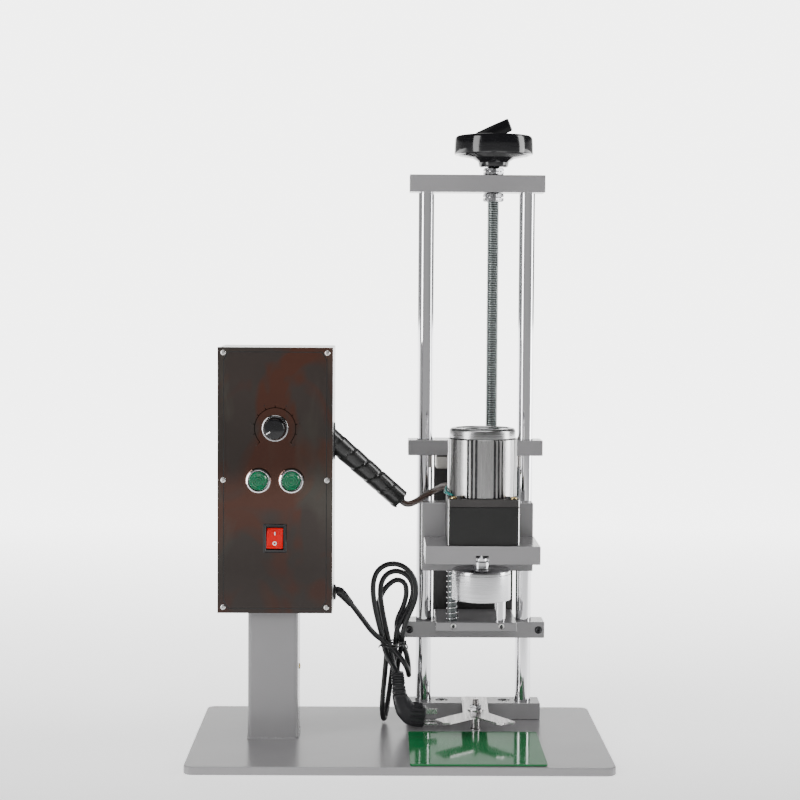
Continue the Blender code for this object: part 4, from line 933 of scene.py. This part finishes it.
def pan_head(name, centre, axis, radius, body, finish_name="bare_metal_and_highlight"):
    """A domed cross-head screw."""
    def cross(depth_in):
        def shape(a):
            b = (a + math.pi / 4) % (math.pi / 2) - math.pi / 4
            return min(radius * 0.52 - depth_in, radius * 0.13 / max(abs(math.sin(b)), 0.25))
        return shape

    rings = [
        (0, radius * 0.10), (cross(0.0002), radius * 0.16), (cross(0.0), radius * 0.44),
        (radius * 0.60, radius * 0.43),
        (radius * 0.82, radius * 0.33), (radius * 0.96, radius * 0.17), (radius, 0.0), (0, 0.0),
    ]
    bm = bmesh.new()
    turn(bm, rings, centre, axis, 64)
    return piece(name, bm, [finish_name], body, angle=45)


def screws():
    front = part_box("lower_crossbar")[0].y
    for side in ("left", "right"):
        centre = middle(f"foot_screw_{side}")
        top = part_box(f"foot_screw_{side}")[1].z
        socket_head(f"foot_cap_screw_{side}", (centre.x, centre.y, top), UP, 0.0064, "frame", 0.008, 0.0036,
                    0.0052,
                    (f"foot_screw_{side}",))
        centre = middle(f"clamp_screw_{side}")
        bm = bmesh.new()
        shape = hexagon(0.0036)
        turn(bm, [(0, -0.0030), (shape, -0.0030), (shape, 0.0003), (0.0026, 0.0006), (0.0031, 0.0004),
                  (0.0034, 0.0),
                  (0.0036, -0.0060), (0, -0.0060)], (centre.x, front, centre.z), FRONT, 48)
        # painted shade: the faces inside the socket, behind the crossbar's front, take black
        for face in bm.faces:
            deep = face.calc_center_median().y > front - 0.0002
            face.material_index = 1 if deep else 0
        piece(f"clamp_socket_{side}", bm, ["dark_steel", "black_matt"], "lift_cage",
              replaces=(f"clamp_screw_{side}",), angle=45)
    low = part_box("support_plate")[0]
    for axis, label in ((SPRING_AXIS, "left"), (PLAIN_AXIS, "right")):
        bm = bmesh.new()
        centre = (axis.x + 0.0008, low.y, 0.1289)
        shape = hexagon(0.0034)
        turn(bm, [(0, 0.0002), (shape, 0.0002), (shape, 0.0008), (0.0023, 0.0010), (0.0030, 0.0011),
                  (0.0034, 0.0007),
                  (0.0035, 0.0), (0, 0.0)], centre, FRONT, 48)
        # painted shade: the faces of the socket in the middle take black
        for face in bm.faces:
            middle_of = face.calc_center_median() - Vector(centre)
            face.material_index = 1 if math.hypot(middle_of.x, middle_of.z) < 0.0018 else 0
        piece(f"grub_screw_{label}", bm, ["bare_metal_and_highlight", "black_matt"], "lift_cage", angle=45)
    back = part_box("back_plate")[1].y
    for x, z in ((0.052, 0.1138), (0.121, 0.1138), (0.052, 0.3232), (0.121, 0.3232)):
        socket_head(f"back_plate_screw_{round(x * 1000)}_{round(z * 1000)}", (x, back + 0.0034, z), BACK,
                    0.0042,
                    "lift_cage", 0.0034, 0.0020, 0.0040)
    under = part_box("bracket_block")
    for x in (0.046, 0.127):
        socket_head(f"bracket_screw_{round(x * 1000)}", (x, under[1].y + 0.0038, 0.222), BACK, 0.0050,
                    "head_unit",
                    0.0038, 0.0024, 0.0048)
    for x in (PANEL_LOW.x + 0.0061, PANEL_HIGH.x - 0.0061):
        for z in (PANEL_HIGH.z - 0.0059, (PANEL_LOW.z + PANEL_HIGH.z) / 2 + 0.0005, PANEL_LOW.z + 0.0062):
            pan_head(f"panel_screw_{round(-x * 1000)}_{round(z * 1000)}", (x, PANEL_FACE, z), FRONT, 0.0031,
                     "frame")
    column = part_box("column")
    pan_head("earth_screw", (column[1].x, 0.0150, 0.0830), RIGHT, 0.0033, "frame", "brass")


def weld_bead():
    """The rippled bead round the column's foot, painted over."""
    low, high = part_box("column")
    bm = bmesh.new()
    corners = [(low.x, low.y), (high.x, low.y), (high.x, high.y), (low.x, high.y)]
    spots = []
    for (x0, y0), (x1, y1) in zip(corners, [*corners[1:], corners[0]]):
        spots += [(x0 + (x1 - x0) * k / 36, y0 + (y1 - y0) * k / 36) for k in range(36)]
    centre = Vector((middle("column").x, middle("column").y, 0))
    rings = []
    for i, (x, y) in enumerate(spots):
        outward = Vector((x, y, 0)) - centre
        outward = Vector((round(outward.x / 0.0275), round(outward.y / 0.0275), 0)).normalized()
        size = 0.00115 + 0.00035 * math.sin(i * 1.9) + 0.00025 * math.sin(i * 0.63 + 1)
        ring = []
        for k in range(7):
            a = math.pi / 2 * k / 6
            ring.append(bm.verts.new(Vector((x, y, BASE_TOP)) + outward * size * math.cos(a)
                                     + Vector((0, 0, size * 1.05 * math.sin(a)))))
        ring.append(bm.verts.new(Vector((x, y, BASE_TOP)) - outward * 0.0006))
        rings.append(ring)
    for first, second in zip(rings, [*rings[1:], rings[0]]):
        for k in range(8):
            j = (k + 1) % 8
            bm.faces.new((first[k], first[j], second[j], second[k]))
    piece("column_weld", bm, ["grey_paint"], "frame", angle=60)


# ---------------------------------------------------------------- handwheel
def handwheel():
    low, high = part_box("handwheel")
    rim_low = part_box("handwheel")[0].z + 0.0142
    rim_r = (high.x - low.x) / 2
    hub = [
        (0.0070, low.z), (0.0150, low.z), (0.0164, low.z + 0.0008), (0.0168, low.z + 0.0018),
        (0.0172, low.z + 0.0052), (0.0186, low.z + 0.0070), (0.0235, rim_low - 0.0045),
    ]
    underside = []
    r = 0.0262
    while r < 0.0400:
        underside += [(r, rim_low - 0.0026 + (r - 0.0262) * 0.17),
                      (r + 0.0004, rim_low - 0.0034 + (r - 0.0262) * 0.17),
                      (r + 0.0014, rim_low - 0.0034 + (r - 0.0262) * 0.17),
                      (r + 0.0018, rim_low - 0.0026 + (r - 0.0262) * 0.17)]
        r += 0.0024
    rim = [
        (0.0418, rim_low + 0.0002), (rim_r - 0.0010, rim_low), (rim_r - 0.0003, rim_low + 0.0004),
        (rim_r, rim_low + 0.0012), (rim_r - 0.0002, rim_low + 0.0100), (rim_r - 0.0006, high.z - 0.0040),
        (rim_r - 0.0014, high.z - 0.0018), (rim_r - 0.0030, high.z - 0.0004), (rim_r - 0.0048, high.z),
        (rim_r - 0.0066, high.z - 0.0005), (rim_r - 0.0082, high.z - 0.0022),
        (rim_r - 0.0092, rim_low + 0.0090),
        (rim_r - 0.0106, rim_low + 0.0066), (0.0300, rim_low + 0.0056), (0.0170, rim_low + 0.0047),
        (0.0148, rim_low + 0.0052), (0.0140, rim_low + 0.0060), (0.0130, rim_low + 0.0060),
        (0.0124, rim_low + 0.0048),
        (0.0070, rim_low + 0.0045),
    ]
    bm = bmesh.new()
    turn(bm, [*hub, *underside, *rim], (SCREW.x, SCREW.y, 0), sides=160, closed=True)
    piece("handwheel_rim", bm, ["black_plastic"], "handwheel", replaces=("handwheel",),
          angle=24)


def fold_handle():
    """The bar that folds down over the wheel: rounded edges, a pin between two lugs."""
    joint = next(j for j in frame["joints"] if j["name"] == "handle_fold")
    pivot = Vector(joint["pos_m"])
    low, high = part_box("fold_handle")
    tilt = Matrix.Rotation(-math.radians(22), 4, "Y")
    place = Matrix.Translation(pivot) @ tilt
    half = (high.y - low.y) / 2
    outline = [(0.0040 * math.cos(a),
                0.0040 * math.sin(a)) for a in (math.radians(90 + i * 20) for i in range(10))]
    outline += [(0.014, -0.0048), (0.030, -0.0042), (0.0488, -0.0035), (0.0499, -0.0024), (0.0499, 0.0104),
                (0.0490, 0.0114), (0.0300, 0.0108), (0.0120, 0.0098), (0.0040, 0.0082)]
    bm = bmesh.new()
    widths = [(-1.0, 0.86), (-0.92, 0.95), (-0.78, 1.0), (0.78, 1.0), (0.92, 0.95), (1.0, 0.86)]
    centre = Vector((0.024, 0, 0.0028))
    rings = []
    for share, size in widths:
        ring = []
        for x, z in outline:
            spot = centre + (Vector((x, 0, z)) - centre) * (1 - (1 - size) * 0.35)
            ring.append(bm.verts.new(place @ Vector((spot.x, share * half * 0.98, spot.z))))
        rings.append(ring)
    count = len(outline)
    for first, second in zip(rings, rings[1:]):
        for k in range(count):
            j = (k + 1) % count
            bm.faces.new((first[k], first[j], second[j], second[k]))
    bm.faces.new(list(reversed(rings[0])))
    bm.faces.new(rings[-1])
    piece("folding_handle", bm, ["black_plastic"], "handle", replaces=("fold_handle",),
          angle=40,
          bevel=0.0005, segments=2)
    bm = bmesh.new()
    turn(bm, [(0, -0.0118), (0.0016, -0.0118), (0.0020, -0.0112), (0.0020, 0.0112), (0.0016, 0.0118),
              (0, 0.0118)],
         pivot, BACK, 32)
    piece("handle_pin", bm, ["bare_metal_and_highlight"], "handwheel", angle=40)
    bm = bmesh.new()
    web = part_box("handwheel")[0].z + 0.0142 + 0.0040
    for side in (-1, 1):
        lug = [(-0.0062, web - pivot.z), (0.0062, web - pivot.z), (0.0046, -0.0010)]
        lug += [(0.0042 * math.cos(a),
                 0.0042 * math.sin(a)) for a in (math.radians(i * 20) for i in range(10))]
        lug += [(-0.0046, -0.0010)]
        near, far = sorted((side * 0.0088, side * 0.0112))
        extrude(bm, [(x, -z) for x, z in lug], near, far, BACK, pivot)
    piece("handle_lugs", bm, ["black_plastic"], "handwheel", bevel=0.0004, angle=40)


# ---------------------------------------------------------------- head unit
def coil_spring():
    low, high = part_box("float_spring")
    wire = 0.00075
    coil_r = (high.x - low.x) / 2 - wire
    turns = 10.0
    path = []
    steps = int(turns * 32)
    tall = high.z - low.z - 2 * wire
    for i in range(steps + 1):
        t = i / steps
        dead = 0.75 / turns
        lifted = min(1.0, max(0.0, (t - dead) / (1 - 2 * dead)))
        first_turn, last_turn = min(1, t / dead), max(0, (t - 1 + dead) / dead)
        z = low.z + wire + tall * (lifted * 0.93 + 0.035 * first_turn + 0.035 * last_turn)
        a = math.tau * turns * t
        path.append(Vector((SPRING_AXIS.x + coil_r * math.cos(a), SPRING_AXIS.y + coil_r * math.sin(a), z)))
    bm = bmesh.new()
    sweep(bm, path, wire, sides=10)
    spring = piece("coil_spring", bm, ["chrome"], None, angle=60)
    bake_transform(spring)
    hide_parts("float_spring")


def motor():
    low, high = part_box("motor_body")
    axis = (SPINDLE.x, SPINDLE.y, 0)
    outer = (high.x - low.x) / 2
    facing = -math.pi / 2
    grooves = [math.radians(centre + step) for centre in range(-20, 340, 45) for step in (-7, 0, 7)]

    def fluted(a):
        b = (a - facing + math.pi) % math.tau - math.pi
        near = min(abs((b - g + math.pi) % math.tau - math.pi) for g in grooves)
        width = math.radians(1.45)
        flat = 0.00045 if abs(b - math.radians(2.5)) < math.radians(14) else 0.0
        if near < width:
            return outer - 0.0021
        if near < width * 1.35:
            return outer - 0.0010
        return outer - flat

    bm = bmesh.new()
    turn(bm, [(0, low.z), (lambda a: fluted(a) - 0.0006, low.z), (fluted, low.z + 0.0006),
              (fluted, high.z - 0.0006),
              (lambda a: fluted(a) - 0.0006, high.z), (0, high.z)], axis, sides=720)
    # painted shade: the faces at the bottom of the flutes take dark steel
    for face in bm.faces:
        reach = [math.hypot(v.co.x - SPINDLE.x, v.co.y - SPINDLE.y) for v in face.verts]
        face.material_index = 1 if len(reach) == 4 and max(reach) < outer - 0.0018 else 0
    piece("motor_casing", bm, ["motor_aluminium", "dark_steel"], "head_unit",
          replaces=("motor_body",), angle=22)

    low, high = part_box("motor_end_ring")
    r = (high.x - low.x) / 2
    bm = bmesh.new()
    turn(bm, [
        (0.0190, low.z), (r - 0.0006, low.z), (r, low.z + 0.0006), (r, high.z - 0.0030),
        (r - 0.0005, high.z - 0.0018),
        (r - 0.0018, high.z - 0.0005), (r - 0.0032, high.z), (r - 0.0065, high.z),
        (r - 0.0072, high.z - 0.0008),
        (0.0215, high.z - 0.0012), (0.0196, high.z - 0.0016), (0.0190, high.z - 0.0024),
    ], axis, sides=128, closed=True)
    piece("motor_end_cap", bm, ["ring_aluminium"], "head_unit",
          replaces=("motor_end_ring",),
          angle=28)
    bm = bmesh.new()
    turn(bm, [(0, low.z + 0.0052), (0.0050, low.z + 0.0052), (0.0058, low.z + 0.0046),
              (0.0062, low.z + 0.0030),
              (0.0150, low.z + 0.0024), (0.0186, low.z + 0.0018), (0.0186, low.z), (0, low.z)], axis,
              sides=64)
    piece("motor_bearing_cap", bm, ["dark_steel"], "head_unit")


def gearbox():
    """Charcoal casting with chamfered corners in bright metal as a painted highlight, and the motor's flange
    with its four brass screws.
    """
    for node, name, finish_name, chamfer in (
        ("gearbox", "gearbox_case", "gearbox_paint", 0.0010),
        ("motor_flange", "flange_plate", "flange_paint", 0.0010),
    ):
        low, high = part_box(node)
        outline = []
        for sx, sy in ((1, 1), (-1, 1), (-1, -1), (1, -1)):
            x, y = (high.x if sx > 0 else low.x), (high.y if sy > 0 else low.y)
            first, second = (x - sx * chamfer, y), (x, y - sy * chamfer)
            outline += [second, first] if sx == sy else [first, second]
        bm = bmesh.new()
        extrude(bm, outline, low.z, high.z)
        # painted highlight: the chamfered corner faces of the case and the flange take bright metal
        for face in bm.faces:
            centre = face.calc_center_median()
            corner = abs(centre.x - SPINDLE.x) > 0.034 and abs(centre.y - SPINDLE.y) > 0.034
            face.material_index = 1 if corner else 0
        piece(name, bm, [finish_name, "bare_metal_and_highlight"], "head_unit", replaces=(node,), angle=25,
              bevel=0.0005)
    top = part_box("motor_flange")[1].z
    for sx in (-1, 1):
        for sy in (-1, 1):
            x, y = SPINDLE.x + sx * 0.0322, SPINDLE.y + sy * 0.0322
            pan_head(f"flange_screw_{'r' if sx > 0 else 'l'}{'b' if sy > 0 else 'f'}", (x, y, top + 0.0008),
                     UP, 0.0036,
                     "head_unit", "brass")
            bm = bmesh.new()
            turn(bm, [(0, top), (0.0043, top), (0.0045, top + 0.0003), (0.0043, top + 0.0008),
                      (0, top + 0.0008)],
                 (x, y, 0), sides=32)
            piece(f"flange_washer_{'r' if sx > 0 else 'l'}{'b' if sy > 0 else 'f'}", bm, ["brass"],
                  "head_unit")
    bm = bmesh.new()
    for sx in (-1, 1):
        turn(bm, [(0, top), (0.0028, top), (0.0028, top + 0.0022), (0.0022, top + 0.0030), (0, top + 0.0030)],
             (SPINDLE.x + sx * 0.0262, SPINDLE.y - 0.0340, 0), sides=24)
    piece("flange_plugs", bm, ["black_matt"], "head_unit")


def capping_head():
    low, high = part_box("capping_head")
    axis = (SPINDLE.x, SPINDLE.y, 0)
    r = (high.x - low.x) / 2
    shoulder = 0.2000
    seam = 0.1955
    shaft = 0.0062
    bm = bmesh.new()
    turn(bm, [
        (0, low.z + 0.0210), (0.0205, low.z + 0.0210), (0.0215, low.z + 0.0200), (0.0229, low.z + 0.0008),
        (0.0236, low.z), (r - 0.0011, low.z), (r - 0.0003, low.z + 0.0004), (r, low.z + 0.0012),
        (r, seam - 0.0004), (r - 0.0002, seam - 0.0001), (r - 0.0006, seam), (r - 0.0006, seam + 0.0003),
        (r - 0.0002, seam + 0.0004), (r, seam + 0.0007), (r, shoulder - 0.0012),
        (r - 0.0004, shoulder - 0.0004),
        (r - 0.0012, shoulder), (0.0092, shoulder), (0.0085, shoulder + 0.0006), (0.0085, high.z - 0.0008),
        (0.0079, high.z), (shaft, high.z), (shaft, high.z - 0.0110), (0, high.z - 0.0110),
    ], axis, sides=160)
    piece("head_body", bm, ["head_aluminium"], "spindle", replaces=("capping_head",),
          angle=30)
    low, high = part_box("chuck_liner")
    rings = [(0.0206, low.z + 0.0004), (0.0214, low.z), (0.0225, low.z + 0.0003)]
    rings += [(0.0225 - 0.0013 * k / 6, low.z + 0.0010 + (high.z - low.z - 0.001) * k / 6)
        for k in range(1, 7)]
    rings += [(0.0150, high.z), (0.0152, high.z - 0.0006)]
    rings += [(0.0158 + 0.0046 * k / 10 + (0.0004 if k % 2 else 0),
               high.z - 0.0010 - (high.z - low.z - 0.002) * k / 10)
              for k in range(10)]
    bm = bmesh.new()
    turn(bm, rings, axis, sides=96, closed=True)
    piece("cup_liner", bm, ["black_rubber"], "spindle", replaces=("chuck_liner",), angle=45)
    for k in range(2):
        a = math.radians(200 + 180 * k)
        out = Vector((math.cos(a), math.sin(a), 0))
        socket_head(f"hub_grub_{k}", Vector(axis) + out * 0.00862 + Vector((0, 0, 0.2042)), out, 0.0019,
                    "spindle",
                    0.0008, 0.0006, 0.0018)


# ---------------------------------------------------------------- control panel
def knob():
    centre = (KNOB.x, PANEL_FACE, KNOB.z)
    bm = bmesh.new()
    ribs = 40

    def knurled(base, depth):
        return lambda a: base + depth * max(0.0, math.cos(ribs * a))

    turn(bm, [
        (0, 0.0168), (0.0090, 0.0168), (0.0104, 0.0165), (0.0111, 0.0157), (knurled(0.0114, 0.0004), 0.0146),
        (knurled(0.0123, 0.0006), 0.0052), (0.0130, 0.0042), (0.0130, 0.0008), (0, 0.0008),
    ], centre, FRONT, 240)
    piece("knob_cap", bm, ["black_plastic"], "knob", replaces=("speed_knob",), angle=35)
    bm = bmesh.new()
    turn(bm, [(0.0129, 0.0040), (0.0138, 0.0038), (0.0143, 0.0033), (0.0145, 0.0026), (0.0145, 0.0012),
              (0.0141, 0.0008), (0.0129, 0.0008)], centre, FRONT, 96, closed=True)
    piece("knob_ring", bm, ["bezel_metal"], "knob", angle=40)
    bm = bmesh.new()
    a = math.radians(212)
    out = Vector((math.cos(a), 0, math.sin(a)))
    across = Vector((-out.z, 0, out.x))
    face = Vector((KNOB.x, PANEL_FACE - 0.01675, KNOB.z))
    corners = [out * 0.0052 - across * 0.0006, out * 0.0052 + across * 0.0006, out * 0.0103 + across * 0.0006,
               out * 0.0103 - across * 0.0006]
    under = [bm.verts.new(face + c) for c in corners]
    over = [bm.verts.new(face + c + Vector((0, -0.0002, 0))) for c in corners]
    bm.faces.new(under)
    bm.faces.new(over)
    for k in range(4):
        j = (k + 1) % 4
        bm.faces.new((under[k], under[j], over[j], over[k]))
    piece("knob_pointer", bm, ["white_print"], "knob")


def dial():
    """The printed scale round the knob: an arc, eleven ticks, and its numbers."""
    arc_r = 0.0222
    start, swing = 222, 264
    bm = bmesh.new()

    def strip(points_in, points_out):
        lower = [bm.verts.new(p) for p in points_in]
        upper = [bm.verts.new(p) for p in points_out]
        for k in range(len(lower) - 1):
            bm.faces.new((lower[k], lower[k + 1], upper[k + 1], upper[k]))

    def spot(radius, degrees):
        a = math.radians(degrees)
        return Vector((KNOB.x + radius * math.cos(a), PANEL_FACE - 0.00012, KNOB.z + radius * math.sin(a)))

    turns = [start - swing * k / 96 for k in range(97)]
    strip([spot(arc_r - 0.00035, t) for t in turns], [spot(arc_r + 0.00035, t) for t in turns])
    for k in range(11):
        t = start - swing * k / 10
        wide = 1.0
        strip([spot(arc_r, t - wide), spot(arc_r + 0.0022, t - wide * 0.9)],
              [spot(arc_r, t + wide), spot(arc_r + 0.0022, t + wide * 0.9)])
    bmesh.ops.solidify(bm, geom=bm.faces[:], thickness=0.00008)
    piece("dial_scale", bm, ["black_print"], "frame")
    for k in range(0, 11, 2):
        t = start - swing * k / 10
        centre = spot(arc_r + 0.0046, t)
        text_piece(f"dial_number_{k}", str(k), 0.0034, centre, "frame", "black_print",
                   0.00005)


def panel_border():
    """The printed line just inside the panel's edge, cut across at the corner screws."""
    inset, cut, wide = 0.0066, 0.0085, 0.00045
    side_x, side_z = PANEL_HIGH.x - inset, PANEL_HIGH.z - 0.0050
    centre_x, centre_z = (PANEL_LOW.x + PANEL_HIGH.x) / 2, (PANEL_LOW.z + PANEL_HIGH.z) / 2
    half_x, half_z = side_x - centre_x, side_z - centre_z
    outline = []
    for sx, sz in ((1, 1), (-1, 1), (-1, -1), (1, -1)):
        corner = [(sx * half_x, sz * (half_z - cut)), (sx * (half_x - cut * 0.6), sz * half_z)]
        outline += corner if sx * sz > 0 else corner[::-1]
    bm = bmesh.new()
    rings = []
    for size in (wide, -wide):
        for y in (PANEL_FACE - 0.00012, PANEL_FACE - 0.00002):
            rings.append([bm.verts.new((centre_x + x * (1 + size / half_x), y,
                                        centre_z + z * (1 + size / half_z)))
                          for x, z in outline])
    for first, second in ((rings[0], rings[1]), (rings[1], rings[3]), (rings[3], rings[2]),
                          (rings[2], rings[0])):
        for k in range(len(outline)):
            j = (k + 1) % len(outline)
            bm.faces.new((first[k], first[j], second[j], second[k]))
    piece("panel_border", bm, ["black_print"], "frame")


def buttons():
    for side, centre in BUTTONS.items():
        spot = (centre.x, PANEL_FACE, centre.z)
        bm = bmesh.new()
        turn(bm, [(0.0107, 0.0), (0.0107, 0.0044), (0.0110, 0.0051), (0.0116, 0.0053), (0.0124, 0.0044),
                  (0.0134, 0.0026), (0.0138, 0.0016), (0.0138, 0.0003), (0.0107, 0.0003)][1:],
             spot, FRONT, 96, closed=True)
        piece(f"button_bezel_{side}", bm, ["bezel_metal"], "frame", angle=40)
        rings = [(0, 0.0080), (0.0012, 0.0080)]
        r = 0.0012
        heights = (0.0077, 0.0080, 0.0075, 0.0078, 0.0071, 0.0073, 0.0063)
        for height in heights:
            r += 0.00118
            rings.append((r, height))
            rings.append((r + 0.0003, height))
        rings += [(0.00985, 0.0056), (0.0102, 0.0050), (0.0102, 0.0034), (0.0079, 0.0034), (0.0079, -0.0140),
                  (0, -0.0140)]
        bm = bmesh.new()
        turn(bm, rings, spot, FRONT, 96)
        piece(f"button_cap_{side}", bm, ["green_lens"], f"button_{side}",
              replaces=(f"button_lens_{side}",), angle=30)


def rocker():
    """The red rocker, its two marks, and the moulded edge of its bezel."""
    joint = next(j for j in frame["joints"] if j["name"] == "rocker_tilt")
    pivot = Vector(joint["pos_m"])
    low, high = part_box("power_rocker")
    half_x = (high.x - low.x) / 2
    tall = 0.0115
    side_view = [(-0.0012, tall), (-0.0022, tall * 0.72), (-0.0029, tall * 0.40), (-0.0036, 0.0),
                 (-0.0046, -tall * 0.40),
                 (-0.0056, -tall * 0.72), (-0.0063, -tall + 0.0018), (-0.0048, -tall + 0.0006)]
    side_view += [(tall * 0.93 * math.sin(a), -tall * 0.93 * math.cos(a))
                  for a in (math.radians(20 + i * 20) for i in range(8))]
    bm = bmesh.new()
    rings = [[bm.verts.new((pivot.x + s * (half_x - 0.0002), pivot.y + y, pivot.z + z)) for y, z in side_view]
             for s in (-1, 1)]
    count = len(side_view)
    for k in range(count):
        j = (k + 1) % count
        bm.faces.new((rings[0][k], rings[0][j], rings[1][j], rings[1][k]))
    bm.faces.new(list(reversed(rings[0])))
    bm.faces.new(rings[1])
    piece("rocker_cap", bm, ["red_plastic"], "rocker", replaces=("power_rocker",), angle=30,
          bevel=0.0005, segments=3)
    bm = bmesh.new()
    y = pivot.y - 0.00330
    block(bm, (pivot.x - 0.0006, y, pivot.z + 0.0030), (pivot.x + 0.0006, y + 0.0008, pivot.z + 0.0072))
    bmesh.ops.rotate(bm, verts=bm.verts, cent=(pivot.x, pivot.y - 0.0028, pivot.z + 0.0053),
                     matrix=Matrix.Rotation(math.radians(10), 3, "X"))
    piece("rocker_mark_on", bm, ["white_print"], "rocker")
    bm = bmesh.new()
    lean = Vector((0, -math.cos(math.radians(13)), math.sin(math.radians(13))))
    turn(bm, [(0.0013, -0.0003), (0.0022, -0.0003), (0.0022, 0.0003), (0.0013, 0.0003)],
         (pivot.x, pivot.y - 0.00535, pivot.z - 0.0050), lean, 40, closed=True)
    piece("rocker_mark_off", bm, ["white_print"], "rocker")
    low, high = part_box("switch_housing")
    bm = bmesh.new()
    outer = (low.x, high.x, low.z, high.z)
    inner = (pivot.x - 0.0095, pivot.x + 0.0095, pivot.z - 0.0124, pivot.z + 0.0124)
    rings = []
    for (x0, x1, z0, z1), y in ((outer, PANEL_FACE - 0.0003), (outer, low.y + 0.0006),
                                (inner, low.y - 0.0004),
                                (inner, low.y + 0.0014)):
        rings.append([bm.verts.new(c) for c in ((x0, y, z0), (x1, y, z0), (x1, y, z1), (x0, y, z1))])
    for first, second in zip(rings, [*rings[1:], rings[0]]):
        for k in range(4):
            j = (k + 1) % 4
            bm.faces.new((first[k], first[j], second[j], second[k]))
    piece("switch_bezel", bm, ["black_matt"], "frame", angle=20, bevel=0.0003)


# ---------------------------------------------------------------- stage
def floor():
    bm = bmesh.new()
    turn(bm, [(0, 0), (30, 0)], (0, 0, 0), sides=128)
    mesh = bpy.data.meshes.new("floor")
    bm.to_mesh(mesh)
    bm.free()
    mesh.materials.append(MATERIALS["floor"])
    ground = bpy.data.objects.new("floor", mesh)
    bpy.context.scene.collection.objects.link(ground)


def lamp(name, place, aim, size, power, colour=(1, 1, 1), spread=180):
    light = bpy.data.lights.new(name, "AREA")
    light.shape = "RECTANGLE"
    light.size, light.size_y = size
    light.energy = power
    light.color = colour
    light.spread = math.radians(spread)
    thing = bpy.data.objects.new(name, light)
    thing.location = place
    thing.rotation_euler = (Vector(aim) - Vector(place)).to_track_quat("-Z", "Y").to_euler()
    bpy.context.scene.collection.objects.link(thing)
    return thing


def lights():
    """Two tall soft boxes at the sides, one overhead, and a room that is white behind and dim in front."""
    lamp("soft_left", (-1.30, -0.85, 0.65), (0.05, 0.05, 0.35), (0.55, 2.0), 27)
    lamp("soft_right", (1.85, 0.00, 0.65), (0.05, 0.05, 0.35), (0.60, 2.0), 36)
    fill = lamp("soft_front", (0.25, -2.9, 1.35), (0.05, 0, 0.60), (1.3, 0.8), 35)
    fill.visible_glossy = False
    lamp("soft_top", (0.0, -0.5, 2.3), (0, 0, 0.2), (1.5, 1.0), 11)
    world = bpy.data.worlds.new("studio")
    bpy.context.scene.world = world
    world.use_nodes = True
    tree = world.node_tree
    background = tree.nodes["Background"]
    coords = tree.nodes.new("ShaderNodeTexCoord")
    split = tree.nodes.new("ShaderNodeSeparateXYZ")
    tree.links.new(coords.outputs["Generated"], split.inputs[0])
    ramp = tree.nodes.new("ShaderNodeValToRGB")
    tree.links.new(split.outputs["Y"], ramp.inputs["Fac"])
    shift = tree.nodes.new("ShaderNodeMath")
    shift.operation = "MULTIPLY_ADD"
    shift.inputs[1].default_value = 0.5
    shift.inputs[2].default_value = 0.5
    tree.links.new(split.outputs["Y"], shift.inputs[0])
    tree.links.new(shift.outputs[0], ramp.inputs["Fac"])
    stops = ramp.color_ramp
    stops.elements.remove(stops.elements[-1])
    bands = ((0.0, 0.085), (0.25, 0.065), (0.62, 0.06), (0.945, 0.11), (0.974, 1.0))
    for index, (position, level) in enumerate(bands):
        stop = stops.elements[0] if index == 0 else stops.elements.new(position)
        stop.position = position
        stop.color = (level, level, level * 0.99, 1)
    height = tree.nodes.new("ShaderNodeMapRange")
    for socket, number in zip(("From Min", "From Max", "To Min", "To Max"), (0.165, 0.215, 1.0, 0.16)):
        height.inputs[socket].default_value = number
    tree.links.new(split.outputs["Z"], height.inputs["Value"])
    dimmed = tree.nodes.new("ShaderNodeMix")
    dimmed.data_type, dimmed.blend_type = "RGBA", "MULTIPLY"
    dimmed.inputs[0].default_value = 1.0
    tree.links.new(ramp.outputs[0], dimmed.inputs[6])
    tree.links.new(height.outputs["Result"], dimmed.inputs[7])
    tree.links.new(dimmed.outputs[2], background.inputs["Color"])
    background.inputs["Strength"].default_value = 5.0


def camera():
    """At the operator's side, a little above the table, turned slightly down."""
    down, right, roll = 0.0563082, 0.0106852, 0.00614856
    sensor, focal_length = 36.0, 81.54765
    base = Matrix(((1, 0, 0), (0, 0, -1), (0, 1, 0)))
    turn_right = Matrix(((math.cos(right), 0, -math.sin(right)), (0, 1, 0),
                         (math.sin(right), 0, math.cos(right))))
    turn_down = Matrix(((1, 0, 0), (0, math.cos(down), -math.sin(down)), (0, math.sin(down), math.cos(down))))
    turn_roll = Matrix(((math.cos(roll), -math.sin(roll), 0), (math.sin(roll), math.cos(roll), 0), (0, 0, 1)))
    rows = turn_roll @ turn_down @ turn_right @ base
    columns = Matrix((rows[0], -rows[1], -rows[2])).transposed()
    data = bpy.data.cameras.new("camera")
    data.sensor_width = sensor
    data.lens = focal_length
    thing = bpy.data.objects.new("camera", data)
    thing.matrix_world = Matrix.Translation((-0.0222045, -1.990526, 0.494098)) @ columns.to_4x4()
    bpy.context.scene.collection.objects.link(thing)
    bpy.context.scene.camera = thing


camera()
mains_cord()
motor_wiring()
earth_wire()
finish_carried_nodes()
rods()
threaded_rod()
nuts()
screws()
weld_bead()
handwheel()
fold_handle()
coil_spring()
motor()
gearbox()
capping_head()
knob()
dial()
panel_border()
buttons()
rocker()
floor()
lights()
